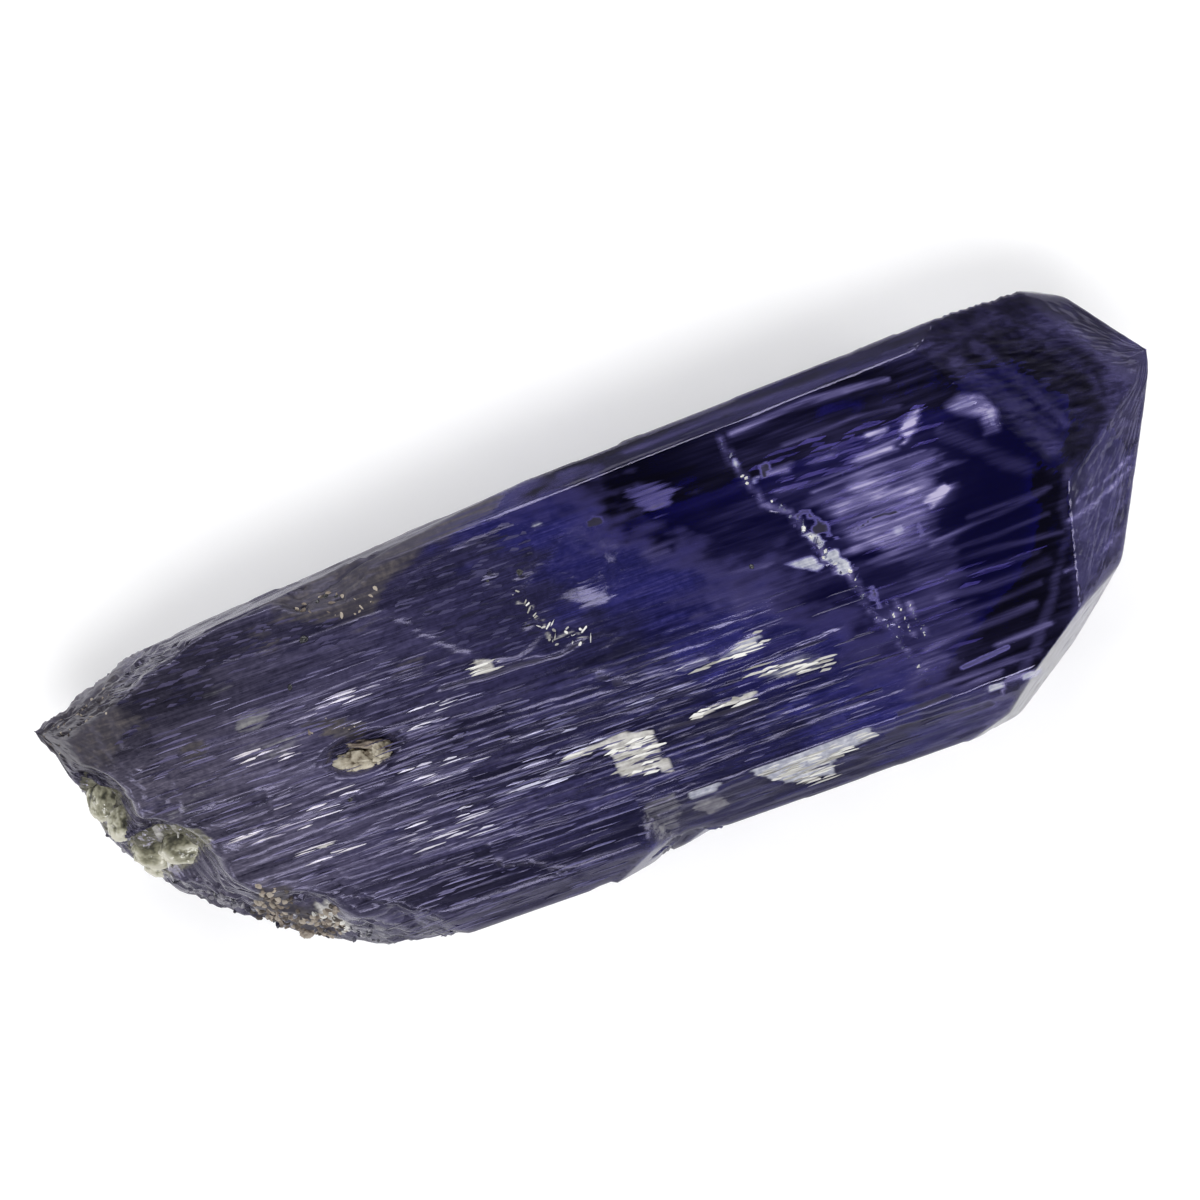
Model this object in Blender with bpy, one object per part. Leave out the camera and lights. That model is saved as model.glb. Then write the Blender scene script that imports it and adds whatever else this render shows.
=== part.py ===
"""Rough tanzanite: one prismatic crystal with a natural point at one end and a broken root at the other.

The row frame has +X along the crystal from the broken root to the point, +Z up, and z = 0 under the small
natural flat it rests on. Places are in millimetres here and become metres as the points are made.
"""

import math

import bmesh
import bpy
from mathutils import Matrix, Vector

MM = 0.001

# Driving dimensions of the crystal, in millimetres
HALF_LENGTH = 19.3
ROUGH_BLOCK = 60.0

# Heights that the faces meet at, counted up from the flat it rests on
TOP = 9.4
RIDGE = 8.9
WAIST = 6.3
FAR_SHOULDER = 8.1
NEAR_SHOULDER = 7.55
LATH_SHOULDER = 7.95
POINT_WAIST = 6.45
HEEL = 1.8

# Places across the crystal where its long edges run
FAR_RIDGE = 6.0
FAR_WAIST = 6.78
NEAR_RIDGE = -5.1
NEAR_WAIST = -6.52
LATH_RIDGE = -6.05
LATH_WAIST = -6.98

# The pit that holds a cream grain on top: its middle and half sizes
PIT_PLACE = (-9.35, -0.15, TOP)
PIT_HALF = (1.2, 0.65, 0.75)

# A face is (direction it looks in plan, degrees from +X; degrees its outward normal rises; a point on it).
PRISM_FACES = {
    "base": (0, -90, (0, 0, 0)),
    "top_far": (94, 83, (0, 2.0, TOP - 0.05)),
    "top_near": (-95, 84, (0, -1.0, TOP)),
    "far_side": (92.5, 47, (5, FAR_RIDGE, RIDGE)),
    "far_under": (92, -8, (5, FAR_WAIST, FAR_SHOULDER)),
    "far_heel": (91, -50, (5, 5.7, HEEL)),
    "near_side": (-90, 47, (5, NEAR_RIDGE, RIDGE)),
    "near_under": (-90, -8, (5, NEAR_WAIST, NEAR_SHOULDER)),
    "near_heel": (-90, -45, (5, -5.6, HEEL - 0.2)),
}
POINT_FACES = {
    "point_far": (41.6, 63, (13.49, 3.8, TOP - 0.25)),
    "point_far_rim": (37, 47, (18.42, 4.88, POINT_WAIST)),
    "point_far_under": (37, -34, (18.42, 4.88, POINT_WAIST)),
    "point_corner": (63, 5, (16.64, 6.65, POINT_WAIST)),
    "point_corner_under": (70, -42, (15.8, 6.4, 2.6)),
    "point_tip": (-20, 5, (HALF_LENGTH - 0.1, 3.0, POINT_WAIST)),
    "point_tip_under": (-8, -48, (18.2, 2.4, 2.6)),
    "point_tip_low": (-26.9, 10, (18.45, 1.63, 7.2)),
    "point_near": (-20, 47, (14.93, -1.07, TOP)),
    "point_near_under": (-30.4, -20, (16.76, -1.36, 7.6)),
    "point_near_heel": (-32, -52, (14.6, -2.4, 1.4)),
    "point_low_side": (-52, 6, (14.4, -3.94, 7.4)),
    "point_low": (-56, 10, (12.25, -5.42, 6.7)),
    "point_low_under": (-58, -30, (12.6, -5.1, 5.0)),
    "point_low_edge": (-76, 8, (10.9, -6.2, 7.0)),
}
ROOT_FACES = {
    "root_slope": (172, 81, (-14.5, 1.0, TOP)),
    "root_far": (95.6, 8, (-12.0, 5.75, WAIST)),
    "root_far_tip": (109.4, 14, (-17.5, 4.7, 5.4)),
    "root_far_under": (112, -40, (-17.0, 4.6, 3.6)),
    "root_tip": (-168, 14, (0.45 - HALF_LENGTH, 1.8, 5.2)),
    "root_tip_under": (-170, -35, (0.35 - HALF_LENGTH, 2.2, 4.8)),
    "root_flank": (-145.2, 14, (-17.7, -1.0, 5.2)),
    "root_flank_under": (-146, -34, (-17.6, -0.9, 4.6)),
    "root_low": (-130.7, 15, (-15.3, -3.65, 5.0)),
    "root_low_under": (-131, -32, (-15.2, -3.6, 4.4)),
    "root_edge": (-118.9, 14, (-12.2, -5.7, 5.2)),
    "root_edge_under": (-120, -30, (-12.1, -5.7, 4.4)),
}
LATH_FACES = {
    "lath_top": (-90, 86, (-6, LATH_RIDGE, RIDGE + 0.05)),
    "lath_side": (-90, 45, (-6, LATH_RIDGE, RIDGE + 0.05)),
    "lath_under": (-90, -9, (-6, LATH_WAIST, LATH_SHOULDER)),
    "lath_heel": (-90, -48, (-6, -6.1, 2.4)),
    "lath_base": (0, -90, (-6, -6, 1.2)),
    "lath_inside": (90, 0, (-6, -3.2, 5)),
    "lath_end": (-6, 42, (-1.3, -5.2, RIDGE - 0.1)),
    "lath_corner": (-70, 12, (-1.9, -6.8, 7.0)),
    "lath_root": (-122, 24, (-10.7, -6.2, 6.4)),
    "lath_root_under": (-120, -30, (-11.1, -6.0, 4.8)),
    "lath_back": (-150, 40, (-11.4, -4.8, RIDGE - 0.3)),
}

# Shell-shaped breaks: (where on the crystal, direction it opens in plan, degrees it rises, radius, depth)
SHELL_BREAKS = {
    "top_shell": ((-0.5, 3.2, TOP - 0.15), 90, 83, 4.0, 0.35),
    "window_chip": ((-17.9, 1.1, 7.0), -165, 40, 1.8, 0.55),
    "glassy_chip": ((-16.3, -1.2, 7.3), -140, 40, 2.4, 0.6),
    "crust_chip": ((-12.9, -4.6, 8.1), -118, 40, 2.2, 0.45),
    "tip_notch": ((-19.0, 2.4, 5.0), 190, 0, 0.9, 0.55),
    "flank_under_chip": ((-16.7, -1.6, 3.0), -146, -34, 2.6, 0.5),
    "far_under_chip": ((-15.6, 4.2, 2.4), 112, -40, 2.6, 0.4),
    "far_ridge_chip": ((-8.6, 5.3, RIDGE), 92, 50, 3.4, 0.4),
    "step_chip": ((-0.4, -6.3, 6.6), -75, 10, 1.6, 0.25),
}


def clear_scene():
    """Removes whatever the file starts with."""
    for obj in list(bpy.data.objects):
        bpy.data.objects.remove(obj, do_unlink=True)


def make_collection(name, hidden):
    """A collection in the scene, hidden in renders when it only holds cutters."""
    collection = bpy.data.collections.new(name)
    bpy.context.scene.collection.children.link(collection)
    collection.hide_render = hidden
    return collection


def add_object(name, bm, collection):
    """Turns the bmesh into a named object and frees it."""
    bmesh.ops.recalc_face_normals(bm, faces=bm.faces[:])
    mesh = bpy.data.meshes.new(name)
    bm.to_mesh(mesh)
    bm.free()
    obj = bpy.data.objects.new(name, mesh)
    collection.objects.link(obj)
    return obj


def outward_normal(direction, rise):
    """The unit normal that looks in this plan direction and rises by this many degrees."""
    turn = math.radians(direction)
    lift = math.radians(rise)
    return Vector((math.cos(lift) * math.cos(turn), math.cos(lift) * math.sin(turn), math.sin(lift)))


def grow_crystal(name, faces, collection):
    """Cuts a big block back by each crystal face in turn, which leaves one convex solid."""
    bm = bmesh.new()
    bmesh.ops.create_cube(bm, size=ROUGH_BLOCK * MM)
    for direction, rise, point in faces.values():
        everything = bm.verts[:] + bm.edges[:] + bm.faces[:]
        cut = bmesh.ops.bisect_plane(
            bm,
            geom=everything,
            dist=1e-7,
            plane_co=Vector(point) * MM,
            plane_no=outward_normal(direction, rise),
            clear_outer=True,
        )
        rim = [edge for edge in cut["geom_cut"] if isinstance(edge, bmesh.types.BMEdge)]
        if rim:
            bmesh.ops.contextual_create(bm, geom=rim)
    return add_object(name, bm, collection)


def make_cutter(obj):
    """Marks an object as a cutter, drawn as wire and left out of renders."""
    obj.hide_render = True
    obj.display_type = "WIRE"
    return obj


def ball_cutter(name, middle, half_size, collection):
    """A faceted ball, or a stretched one, that leaves a shell-shaped hollow."""
    bm = bmesh.new()
    bmesh.ops.create_icosphere(bm, subdivisions=3, radius=1.0)
    scale = Matrix.Diagonal((*(half * MM for half in half_size), 1.0))
    bmesh.ops.transform(bm, matrix=Matrix.Translation(Vector(middle) * MM) @ scale, verts=bm.verts[:])
    return make_cutter(add_object(name, bm, collection))


def shell_cutter(name, shell, collection):
    """A ball that bites this deep into the surface from the side the break opens to."""
    where, direction, rise, radius, depth = shell
    middle = Vector(where) + outward_normal(direction, rise) * (radius - depth)
    return ball_cutter(name, middle, (radius, radius, radius), collection)


def join_or_cut(obj, other, operation):
    """Adds a Boolean modifier with the exact solver."""
    modifier = obj.modifiers.new(f"{operation.lower()} {other.name}", "BOOLEAN")
    modifier.object = other
    modifier.operation = operation
    modifier.solver = "EXACT"


def tanzanite_material():
    """The blue-violet gem with a faint silvery skin."""
    material = bpy.data.materials.new("tanzanite")
    material.use_nodes = True
    shader = material.node_tree.nodes["Principled BSDF"]
    shader.inputs["Base Color"].default_value = (0.055, 0.05, 0.13, 1.0)
    shader.inputs["Roughness"].default_value = 0.22
    shader.inputs["Metallic"].default_value = 0.0
    shader.inputs["IOR"].default_value = 1.69
    return material


def build_crystal(parts, cutters):
    """The main crystal with the lath grown along its near side, chipped at the root and pitted on top."""
    crystal = grow_crystal("crystal", PRISM_FACES | POINT_FACES | ROOT_FACES, parts)
    lath = make_cutter(grow_crystal("near_lath", LATH_FACES, cutters))
    join_or_cut(crystal, lath, "UNION")
    join_or_cut(crystal, ball_cutter("grain_pit", PIT_PLACE, PIT_HALF, cutters), "DIFFERENCE")
    for name, shell in SHELL_BREAKS.items():
        join_or_cut(crystal, shell_cutter(name, shell, cutters), "DIFFERENCE")
    crystal.data.materials.append(tanzanite_material())
    return crystal


def stand_on_origin(crystal, parts, cutters):
    """Parents everything to one empty and moves it, so that z = 0 is the resting flat under the box's middle."""
    rest_point = bpy.data.objects.new("rest_point", None)
    parts.objects.link(rest_point)
    for obj in [crystal, *cutters.objects]:
        obj.parent = rest_point
    bpy.context.view_layer.update()
    shape = crystal.evaluated_get(bpy.context.evaluated_depsgraph_get())
    corners = [shape.matrix_world @ Vector(corner) for corner in shape.bound_box]
    low = Vector(min(corner[axis] for corner in corners) for axis in range(3))
    high = Vector(max(corner[axis] for corner in corners) for axis in range(3))
    rest_point.location = (-(low.x + high.x) / 2, -(low.y + high.y) / 2, -low.z)


clear_scene()
rough_tanzanite = make_collection("rough_tanzanite", hidden=False)
hidden_cutters = make_collection("cutters", hidden=True)
whole_crystal = build_crystal(rough_tanzanite, hidden_cutters)
stand_on_origin(whole_crystal, rough_tanzanite, hidden_cutters)
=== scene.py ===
# %% [markdown]
# # Rough tanzanite, a lesson in one crystal
# A rough tanzanite is a single blue-violet crystal, longer than it is wide, with straight growth lines that run
# its whole length. One end is a natural point and the other is a ragged break where it was torn off its rock.
# The solid of that crystal comes from model.glb. This script gives it the fine surface and the see-through body.

# %% Load the solid crystal and note its real size
import math
from functools import partial

import bmesh
import bpy
import numpy as np
from mathutils import Euler, Matrix, Vector, noise
from mathutils.bvhtree import BVHTree


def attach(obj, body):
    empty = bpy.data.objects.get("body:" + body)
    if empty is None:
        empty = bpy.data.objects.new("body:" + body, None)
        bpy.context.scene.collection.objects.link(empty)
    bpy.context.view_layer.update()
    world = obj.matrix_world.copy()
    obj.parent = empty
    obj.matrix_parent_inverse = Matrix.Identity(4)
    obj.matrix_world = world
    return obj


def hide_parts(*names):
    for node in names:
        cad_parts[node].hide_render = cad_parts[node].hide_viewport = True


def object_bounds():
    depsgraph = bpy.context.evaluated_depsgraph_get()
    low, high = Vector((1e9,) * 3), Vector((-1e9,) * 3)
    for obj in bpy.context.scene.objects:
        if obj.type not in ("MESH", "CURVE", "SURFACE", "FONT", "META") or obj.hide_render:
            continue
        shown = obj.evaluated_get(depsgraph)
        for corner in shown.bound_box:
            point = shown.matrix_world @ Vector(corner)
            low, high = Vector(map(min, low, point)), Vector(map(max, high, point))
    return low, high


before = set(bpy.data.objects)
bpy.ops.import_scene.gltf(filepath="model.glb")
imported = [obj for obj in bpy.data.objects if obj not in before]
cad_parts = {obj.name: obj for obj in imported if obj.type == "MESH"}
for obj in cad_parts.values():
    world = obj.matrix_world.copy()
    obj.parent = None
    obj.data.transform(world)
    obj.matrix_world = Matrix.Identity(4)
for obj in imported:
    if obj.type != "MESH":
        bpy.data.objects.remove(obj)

MM = 0.001
cad_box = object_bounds()
size_mm = (cad_box[1] - cad_box[0]) / MM
print("crystal, mm:", [round(side, 2) for side in size_mm])

# %% [markdown]
# ## Small helpers
# Colours are picked as sRGB hex values, the way a colour picker shows them, and Cycles works in linear light,
# so one function converts them. One more adds a node, sets or wires its inputs and hands back one of its
# outputs, so each material below reads as a list of what feeds what.

# %% Colour and node helpers
SRGB_BREAK = 0.04045


def linear(hex_colour):
    """An sRGB hex colour as linear red, green, blue and alpha."""
    parts = [int(hex_colour[at:at + 2], 16) / 255 for at in (1, 3, 5)]
    return [p / 12.92 if p <= SRGB_BREAK else ((p + 0.055) / 1.055) ** 2.4 for p in parts] + [1.0]


def fill(node, inputs):
    """Gives each input, named or numbered, a value or another node's output."""
    for key, source in inputs.items():
        if isinstance(source, bpy.types.NodeSocket):
            node.id_data.links.new(source, node.inputs[key])
        else:
            node.inputs[key].default_value = source


def add_node(tree, kind, inputs=None, output=None, stops=(), **settings):
    """Adds a node with its settings and inputs, and returns its first output in use, or the one that is named.

    Stops, each a place and a hex colour, are for a colour ramp."""
    node = tree.nodes.new(kind)
    for key, value in settings.items():
        setattr(node, key, value)
    fill(node, inputs or {})
    for at, (place, hex_colour) in enumerate(stops):
        elements = node.color_ramp.elements
        element = elements[at] if at < len(elements) else elements.new(1.0)
        element.position, element.color = place, linear(hex_colour)
    return node.outputs[output] if output else next(socket for socket in node.outputs if socket.enabled)


def new_material(name):
    """An empty material with its node tree and its Principled shader."""
    material = bpy.data.materials.new(name)
    material.use_nodes = True
    return material, material.node_tree, material.node_tree.nodes["Principled BSDF"]


def add_piece(name, mesh):
    """Puts a mesh in the scene as a piece at the origin."""
    piece = bpy.data.objects.new(name, mesh)
    bpy.context.scene.collection.objects.link(piece)
    return piece


def smooth_step(low, high, value):
    """0 below low, 1 above high, and a soft S between, for numpy arrays."""
    part = np.clip((value - low) / (high - low), 0, 1)
    return part * part * (3 - 2 * part)


# %% [markdown]
# ## Camera
# The photograph looks almost straight down on the lying crystal, from close by with a long lens, and the crystal
# runs up to the right at 19.5 degrees. So the camera hangs over it, turned by that angle about the vertical.
# The width of the picture at the crystal's waist follows from the photograph's 1200 pixels and the real length.

# %% Hang the camera over the crystal
PHOTO_PIXELS = 1200
PIXEL_MM = 0.0329
AXIS_ANGLE = math.radians(19.5)
PHOTO_MIDDLE = (-0.30, 1.92)
WAIST_HEIGHT = 5.5
CAMERA_DISTANCE = 300.0
SENSOR_MM = 36.0

camera_data = bpy.data.cameras.new("camera")
camera_data.sensor_width = SENSOR_MM
camera_data.lens = SENSOR_MM * CAMERA_DISTANCE / (PHOTO_PIXELS * PIXEL_MM)
camera_data.clip_start = 0.01
camera_data.clip_end = 5.0
camera = bpy.data.objects.new("camera", camera_data)
camera.location = Vector((*PHOTO_MIDDLE, WAIST_HEIGHT + CAMERA_DISTANCE)) * MM
camera.rotation_euler = (0, 0, -AXIS_ANGLE)
bpy.context.scene.collection.objects.link(camera)
bpy.context.scene.camera = camera
print("lens, mm:", round(camera_data.lens, 1))

# %% [markdown]
# ## Floor and light
# A gem is lit so that the dark sky over it keeps its depth and bright things round it wake its edges. The white
# table is the brightest of these: steep faces mirror it and turn lavender grey. On the near side, a small key
# wakes only the gloss, so growth lines that tip towards it flash white, and a higher, larger light wakes only the
# matt colours and throws the short soft shadow. One light for both would give a grey film or a long shadow.

# %% White paper table
FLOOR_HALF = 1.5
FLOOR_GAP = 0.02
PAPER_GRAIN = 900.0
PAPER_GLOW = 0.16


def make_floor():
    """A pale matt sheet just under the crystal, with a faint glow."""
    bpy.ops.mesh.primitive_plane_add(size=2 * FLOOR_HALF, location=(0, 0, -FLOOR_GAP * MM))
    floor = bpy.context.object
    floor.name = "table"
    material, tree, shader = new_material("white paper table")
    place = add_node(tree, "ShaderNodeTexCoord", output="Object")
    grain = add_node(tree, "ShaderNodeTexNoise", {"Vector": place, "Scale": PAPER_GRAIN, "Detail": 3.0})
    tone = add_node(tree, "ShaderNodeMix", {"Factor": grain, "A": linear("#f1f1f2"), "B": linear("#f6f6f6")},
                    data_type="RGBA")
    fill(shader, {"Base Color": tone, "Roughness": 0.9, "Specular IOR Level": 0.1,
                  "Emission Color": linear("#ffffff"), "Emission Strength": PAPER_GLOW})
    floor.data.materials.append(material)


make_floor()
print("table half width, m:", FLOOR_HALF)

# %% Studio dome
DOME_BRIGHT = 0.46
DOME_TOP = 0.03
# How high the dome starts and stops fading, as the sine of the angle above the horizon
DOME_EDGES = (0.30, 0.72)


def make_dome():
    """A sky that is fairly bright round the sides and dark overhead."""
    world = bpy.data.worlds.new("studio dome")
    bpy.context.scene.world = world
    world.use_nodes = True
    tree = world.node_tree
    way = add_node(tree, "ShaderNodeTexCoord", output="Generated")
    rise = add_node(tree, "ShaderNodeSeparateXYZ", {"Vector": way}, output="Z")
    fade = add_node(tree, "ShaderNodeMapRange", {
        "Value": rise, "From Min": DOME_EDGES[0], "From Max": DOME_EDGES[1],
        "To Min": DOME_BRIGHT, "To Max": DOME_TOP}, interpolation_type="SMOOTHSTEP")
    fill(tree.nodes["Background"], {"Strength": fade, "Color": linear("#fbfbff")})


make_dome()
print("dome, sides and top:", DOME_BRIGHT, DOME_TOP)

# %% Soft boxes
# Soft boxes: direction in plan and height above the horizon in degrees, distance, width and height in mm,
# radiance, and what they light: the gloss, the matt colours, or both
SOFT_BOXES = {
    "near key": (-98, 56, 700, 300, 130, 9.5, "gloss"),
    "table light": (-98, 68, 700, 420, 300, 8.2, "matt"),
    "far fill": (84, 40, 800, 620, 260, 6.4, "both"),
    "root fill": (176, 38, 800, 380, 300, 5.2, "both"),
    "point fill": (-12, 38, 800, 380, 300, 5.0, "both"),
}


def make_soft_box(name, direction, rise, distance, width, height, radiance, lights):
    """An area light aimed at the crystal; its power follows from how bright its face is to look at."""
    data = bpy.data.lights.new(name, "AREA")
    data.shape = "RECTANGLE"
    data.size = width * MM
    data.size_y = height * MM
    data.energy = radiance * math.pi * data.size * data.size_y
    light = bpy.data.objects.new(name, data)
    turn, lift = math.radians(direction), math.radians(rise)
    away = Vector((math.cos(lift) * math.cos(turn), math.cos(lift) * math.sin(turn), math.sin(lift)))
    light.location = away * distance * MM
    light.rotation_euler = away.to_track_quat("Z", "Y").to_euler()
    light.visible_camera = False
    light.visible_diffuse = lights != "gloss"
    light.visible_glossy = lights != "matt"
    light.visible_transmission = lights != "matt"
    bpy.context.scene.collection.objects.link(light)


for name, box in SOFT_BOXES.items():
    make_soft_box(name, *box)
bpy.context.scene.view_settings.view_transform = "Standard"
print("soft boxes:", list(SOFT_BOXES))

# %% [markdown]
# ## A fine skin over the solid
# Growth lines a quarter of a millimetre wide need a mesh with points closer than that. The solid has only large
# faces, so it is wrapped again: rings of rays are shot outwards from a line down its middle, and each ray that
# meets the solid gives one point. Rays lie closest on the top, and rings at both ends, where the surface is
# busiest. A voxel remesh would be quicker to write, but it has no rows for the growth lines to follow.

# %% Where the rings and the rays go
# The line that the rays start from, which lies inside the solid from tip to tip
CENTRE_LINE = (
    (-19.34, 4.08, 4.96), (-18.9, 3.6, 5.0), (-18.3, 2.9, 5.0), (-17.0, 1.6, 4.9), (-14.0, 0.2, 4.8),
    (10.0, 0.2, 4.75), (15.0, 1.6, 5.2), (17.5, 2.9, 5.9), (18.6, 3.25, 6.35), (19.34, 3.70, 6.45),
)
ROOT_START = -15.0
POINT_START = 10.5
END_STEP = 0.11
BODY_STEP = 0.19
RAYS_ROUND = 372
# Gaps between rays, in mm, on the top, the steep sides and the underside, and the heights that part these
RAY_GAPS = (0.05, 0.1, 0.22)
TOP_FROM = 8.6
SIDES_FROM = 5.2
# Middle of the crystal's section, which the rays' angles are measured round, in mm
SECTION_MIDDLE = (4.0, 0.2, 4.75)


def tip_spread(tip, start, step):
    """Places from start to the tip, crowding together just before it."""
    count = int(abs(tip - start) / step)
    places = np.linspace(start, tip, count, endpoint=False)[1:]
    close = tip - (tip - places[-1]) * np.array([0.62, 0.35, 0.16, 0.06])
    return np.concatenate([places, close])


def ring_places(tree_box):
    """Where the rings stand along the crystal."""
    low, high = tree_box[0].x / MM, tree_box[1].x / MM
    root = tip_spread(low, ROOT_START, END_STEP)[::-1]
    body = np.arange(ROOT_START, POINT_START, BODY_STEP)
    point = tip_spread(high, POINT_START, END_STEP)
    return np.concatenate([root, body, [POINT_START], point])


def solid_tree():
    """A search tree of the solid, from a merged copy, and its two end points."""
    copy = bmesh.new()
    copy.from_mesh(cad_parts["crystal"].data)
    bmesh.ops.remove_doubles(copy, verts=copy.verts[:], dist=1e-7)
    tree = BVHTree.FromBMesh(copy)
    low = min(copy.verts, key=lambda vert: vert.co.x).co / MM
    high = max(copy.verts, key=lambda vert: vert.co.x).co / MM
    copy.free()
    return tree, low, high


solid, root_tip, point_tip = solid_tree()
rings = ring_places(cad_box)
print("tips, mm:", [round(side, 1) for side in root_tip], [round(side, 1) for side in point_tip])


# %% Shoot the rings of rays
def shoot(tree, start, angle):
    """Where a ray from start, across the crystal, leaves the solid: distance and face normal."""
    way = Vector((0, math.cos(angle), math.sin(angle)))
    hit, normal, _, distance = tree.ray_cast(Vector(start) * MM, way)
    if hit is None:
        return 0.0, (0.0, 0.0, 0.0)
    return distance / MM, tuple(normal)


def ray_angles(tree):
    """Angles round the middle section and how far round its outline each one lies."""
    fine = np.linspace(-math.pi / 2, 1.5 * math.pi, 2400, endpoint=False)
    reach = np.array([shoot(tree, SECTION_MIDDLE, angle)[0] for angle in fine])
    y = SECTION_MIDDLE[1] + reach * np.cos(fine)
    z = SECTION_MIDDLE[2] + reach * np.sin(fine)
    steps = np.hypot(np.diff(y, append=y[0]), np.diff(z, append=z[0]))
    gap = np.where(z > TOP_FROM, RAY_GAPS[0], np.where(z > SIDES_FROM, RAY_GAPS[1], RAY_GAPS[2]))
    weight = np.cumsum(steps / gap)
    wanted = (np.arange(RAYS_ROUND) + 0.5) * weight[-1] / RAYS_ROUND
    angles = np.interp(wanted, weight, fine)
    around = np.interp(angles, fine, np.cumsum(steps))
    return angles, around, float(steps.sum())


angles, ray_around, girth = ray_angles(solid)
line = np.array(CENTRE_LINE)
ring_y = np.interp(rings, line[:, 0], line[:, 1])
ring_z = np.interp(rings, line[:, 0], line[:, 2])
hits = [[shoot(solid, start, angle) for angle in angles] for start in zip(rings, ring_y, ring_z)]
reach = np.array([[hit[0] for hit in ring] for ring in hits])
normals = np.array([[hit[1] for hit in ring] for ring in hits])
print("rings and rays:", reach.shape, "triangles:", 2 * reach.size, "girth, mm:", round(girth, 1))

# %% [markdown]
# ## Where things are on the skin
# Every point now gets an address: how far along the crystal it is and how far round its girth. The growth lines
# run along the first, so they are functions of the second. Softening the distances a little wears the edges.

# %% Addresses of the points
WEAR_PASSES = 2
worn = reach.copy()
for _ in range(WEAR_PASSES):
    worn = (np.roll(worn, 1, 1) + 2 * worn + np.roll(worn, -1, 1)) / 4
    worn[1:-1] = (worn[:-2] + 2 * worn[1:-1] + worn[2:]) / 4
worn = np.minimum(worn, reach)
X = np.repeat(rings[:, None], RAYS_ROUND, axis=1)
Y = ring_y[:, None] + worn * np.cos(angles)
Z = ring_z[:, None] + worn * np.sin(angles)
around_line = np.unwrap(np.arctan2(Z - SECTION_MIDDLE[2], Y - SECTION_MIDDLE[1]), axis=1)
fine_angle = np.concatenate([angles - 2 * math.pi, angles, angles + 2 * math.pi])
fine_around = np.concatenate([ray_around - girth, ray_around, ray_around + girth])
S = np.interp(around_line, fine_angle, fine_around)
upness = normals[..., 2]
prism = 1 - smooth_step(0.12, 0.3, np.abs(normals[..., 0]))
print("address ranges:", S.min().round(1), S.max().round(1))


# %% Noise and random planks
def soft_noise(scale_x, scale_yz, seed, octaves=3):
    """Soft noise on the points, 0 to 1, with its own grain along and across the crystal, in mm."""
    shift = 17.3 * seed
    points = np.stack([X / scale_x + shift, Y / scale_yz, Z / scale_yz], axis=-1).reshape(-1, 3)
    values = [noise.fractal(Vector(point), 0.9, 2.0, octaves) for point in points.tolist()]
    return np.clip(0.5 + 0.55 * np.array(values).reshape(X.shape), 0, 1)


def planks(seed, widths, lengths, wander=0.0):
    """Rows of bricks: the place across the row (0 to 1), the row's width, and four random numbers a brick."""
    draw = np.random.default_rng(seed)
    row_widths = draw.uniform(*widths, size=int(2.2 * girth / sum(widths)) + 40)
    edges = np.concatenate([[-2.0], -2.0 + np.cumsum(row_widths)])
    drift = wander * np.sin(0.35 * X + 0.5 * S)
    where = S + drift
    row = np.clip(np.searchsorted(edges, where) - 1, 0, len(row_widths) - 1)
    length = draw.uniform(*lengths, size=len(row_widths))[row]
    phase = draw.uniform(0, 1, size=len(row_widths))[row]
    bend = draw.uniform(0, 6.28, size=len(row_widths))[row]
    spot = (X + 20.0) / length + phase + 0.28 * np.sin(bend + X / length * 2.1)
    brick = np.clip(np.floor(spot).astype(int), 0, 399)
    chance = draw.uniform(0, 1, size=(len(row_widths), 400, 4))[row, brick]
    across = (where - edges[row]) / row_widths[row]
    return across, row_widths[row], chance


def chips(size, seed):
    """Flat broken chips of about this size in mm, each with its own level from 0 to 1."""
    shift = 31.7 * seed
    points = np.stack([X / size + shift, Y / size, Z / size], axis=-1).reshape(-1, 3)
    middles = np.array([tuple(noise.voronoi(Vector(point))[1][0]) for point in points.tolist()])
    level = np.sin(middles @ np.array([12.9898, 78.233, 37.719])) * 43758.5453
    return (level % 1.0).reshape(X.shape)


on_top = smooth_step(0.35, 0.6, upness)
seen_above = smooth_step(0.05, 0.2, upness)
busy = soft_noise(1.1, 0.9, 1)
streaky = soft_noise(2.6, 0.22, 2)
broad = soft_noise(7.0, 3.5, 3, 2)
print("noise fields:", busy.mean().round(2), streaky.mean().round(2), broad.mean().round(2))

# %% [markdown]
# ## A map of the marks
# What makes this crystal itself and no other is its map: a smooth slate terrace, a brown-stained root, two glassy
# yellow-green grains, cream patches, a lavender window. Each mark is a small outline in millimetres, drawn one by
# one, and a function turns it into a soft-edged mask on the points. A material could also draw ovals with
# nodes, but free outlines are easier to read as points, and nodes then fray their edges.


# %% Outlines to masks
def distance_to(outline, closed, warp):
    """How far each point is from a drawn line in plan, in mm, and whether it lies inside it."""
    at_x = X + warp * 2.0 * (busy - 0.5) + warp * 1.5 * (streaky - 0.5)
    at_y = Y + warp * (broad - 0.5) + warp * 0.8 * (streaky - 0.5)
    ends = np.array(outline, float)
    starts, stops = (ends, np.roll(ends, -1, 0)) if closed else (ends[:-1], ends[1:])
    near = np.full(X.shape, 99.0)
    inside = np.zeros(X.shape, bool)
    for (ax, ay), (bx, by) in zip(starts, stops):
        share = ((at_x - ax) * (bx - ax) + (at_y - ay) * (by - ay)) / ((bx - ax) ** 2 + (by - ay) ** 2 + 1e-9)
        share = np.clip(share, 0, 1)
        near = np.minimum(near, np.hypot(at_x - ax - share * (bx - ax), at_y - ay - share * (by - ay)))
        crosses = (ay > at_y) != (by > at_y)
        inside ^= crosses & (at_x < ax + (at_y - ay) * (bx - ax) / (by - ay + 1e-12))
    return near, inside


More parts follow.
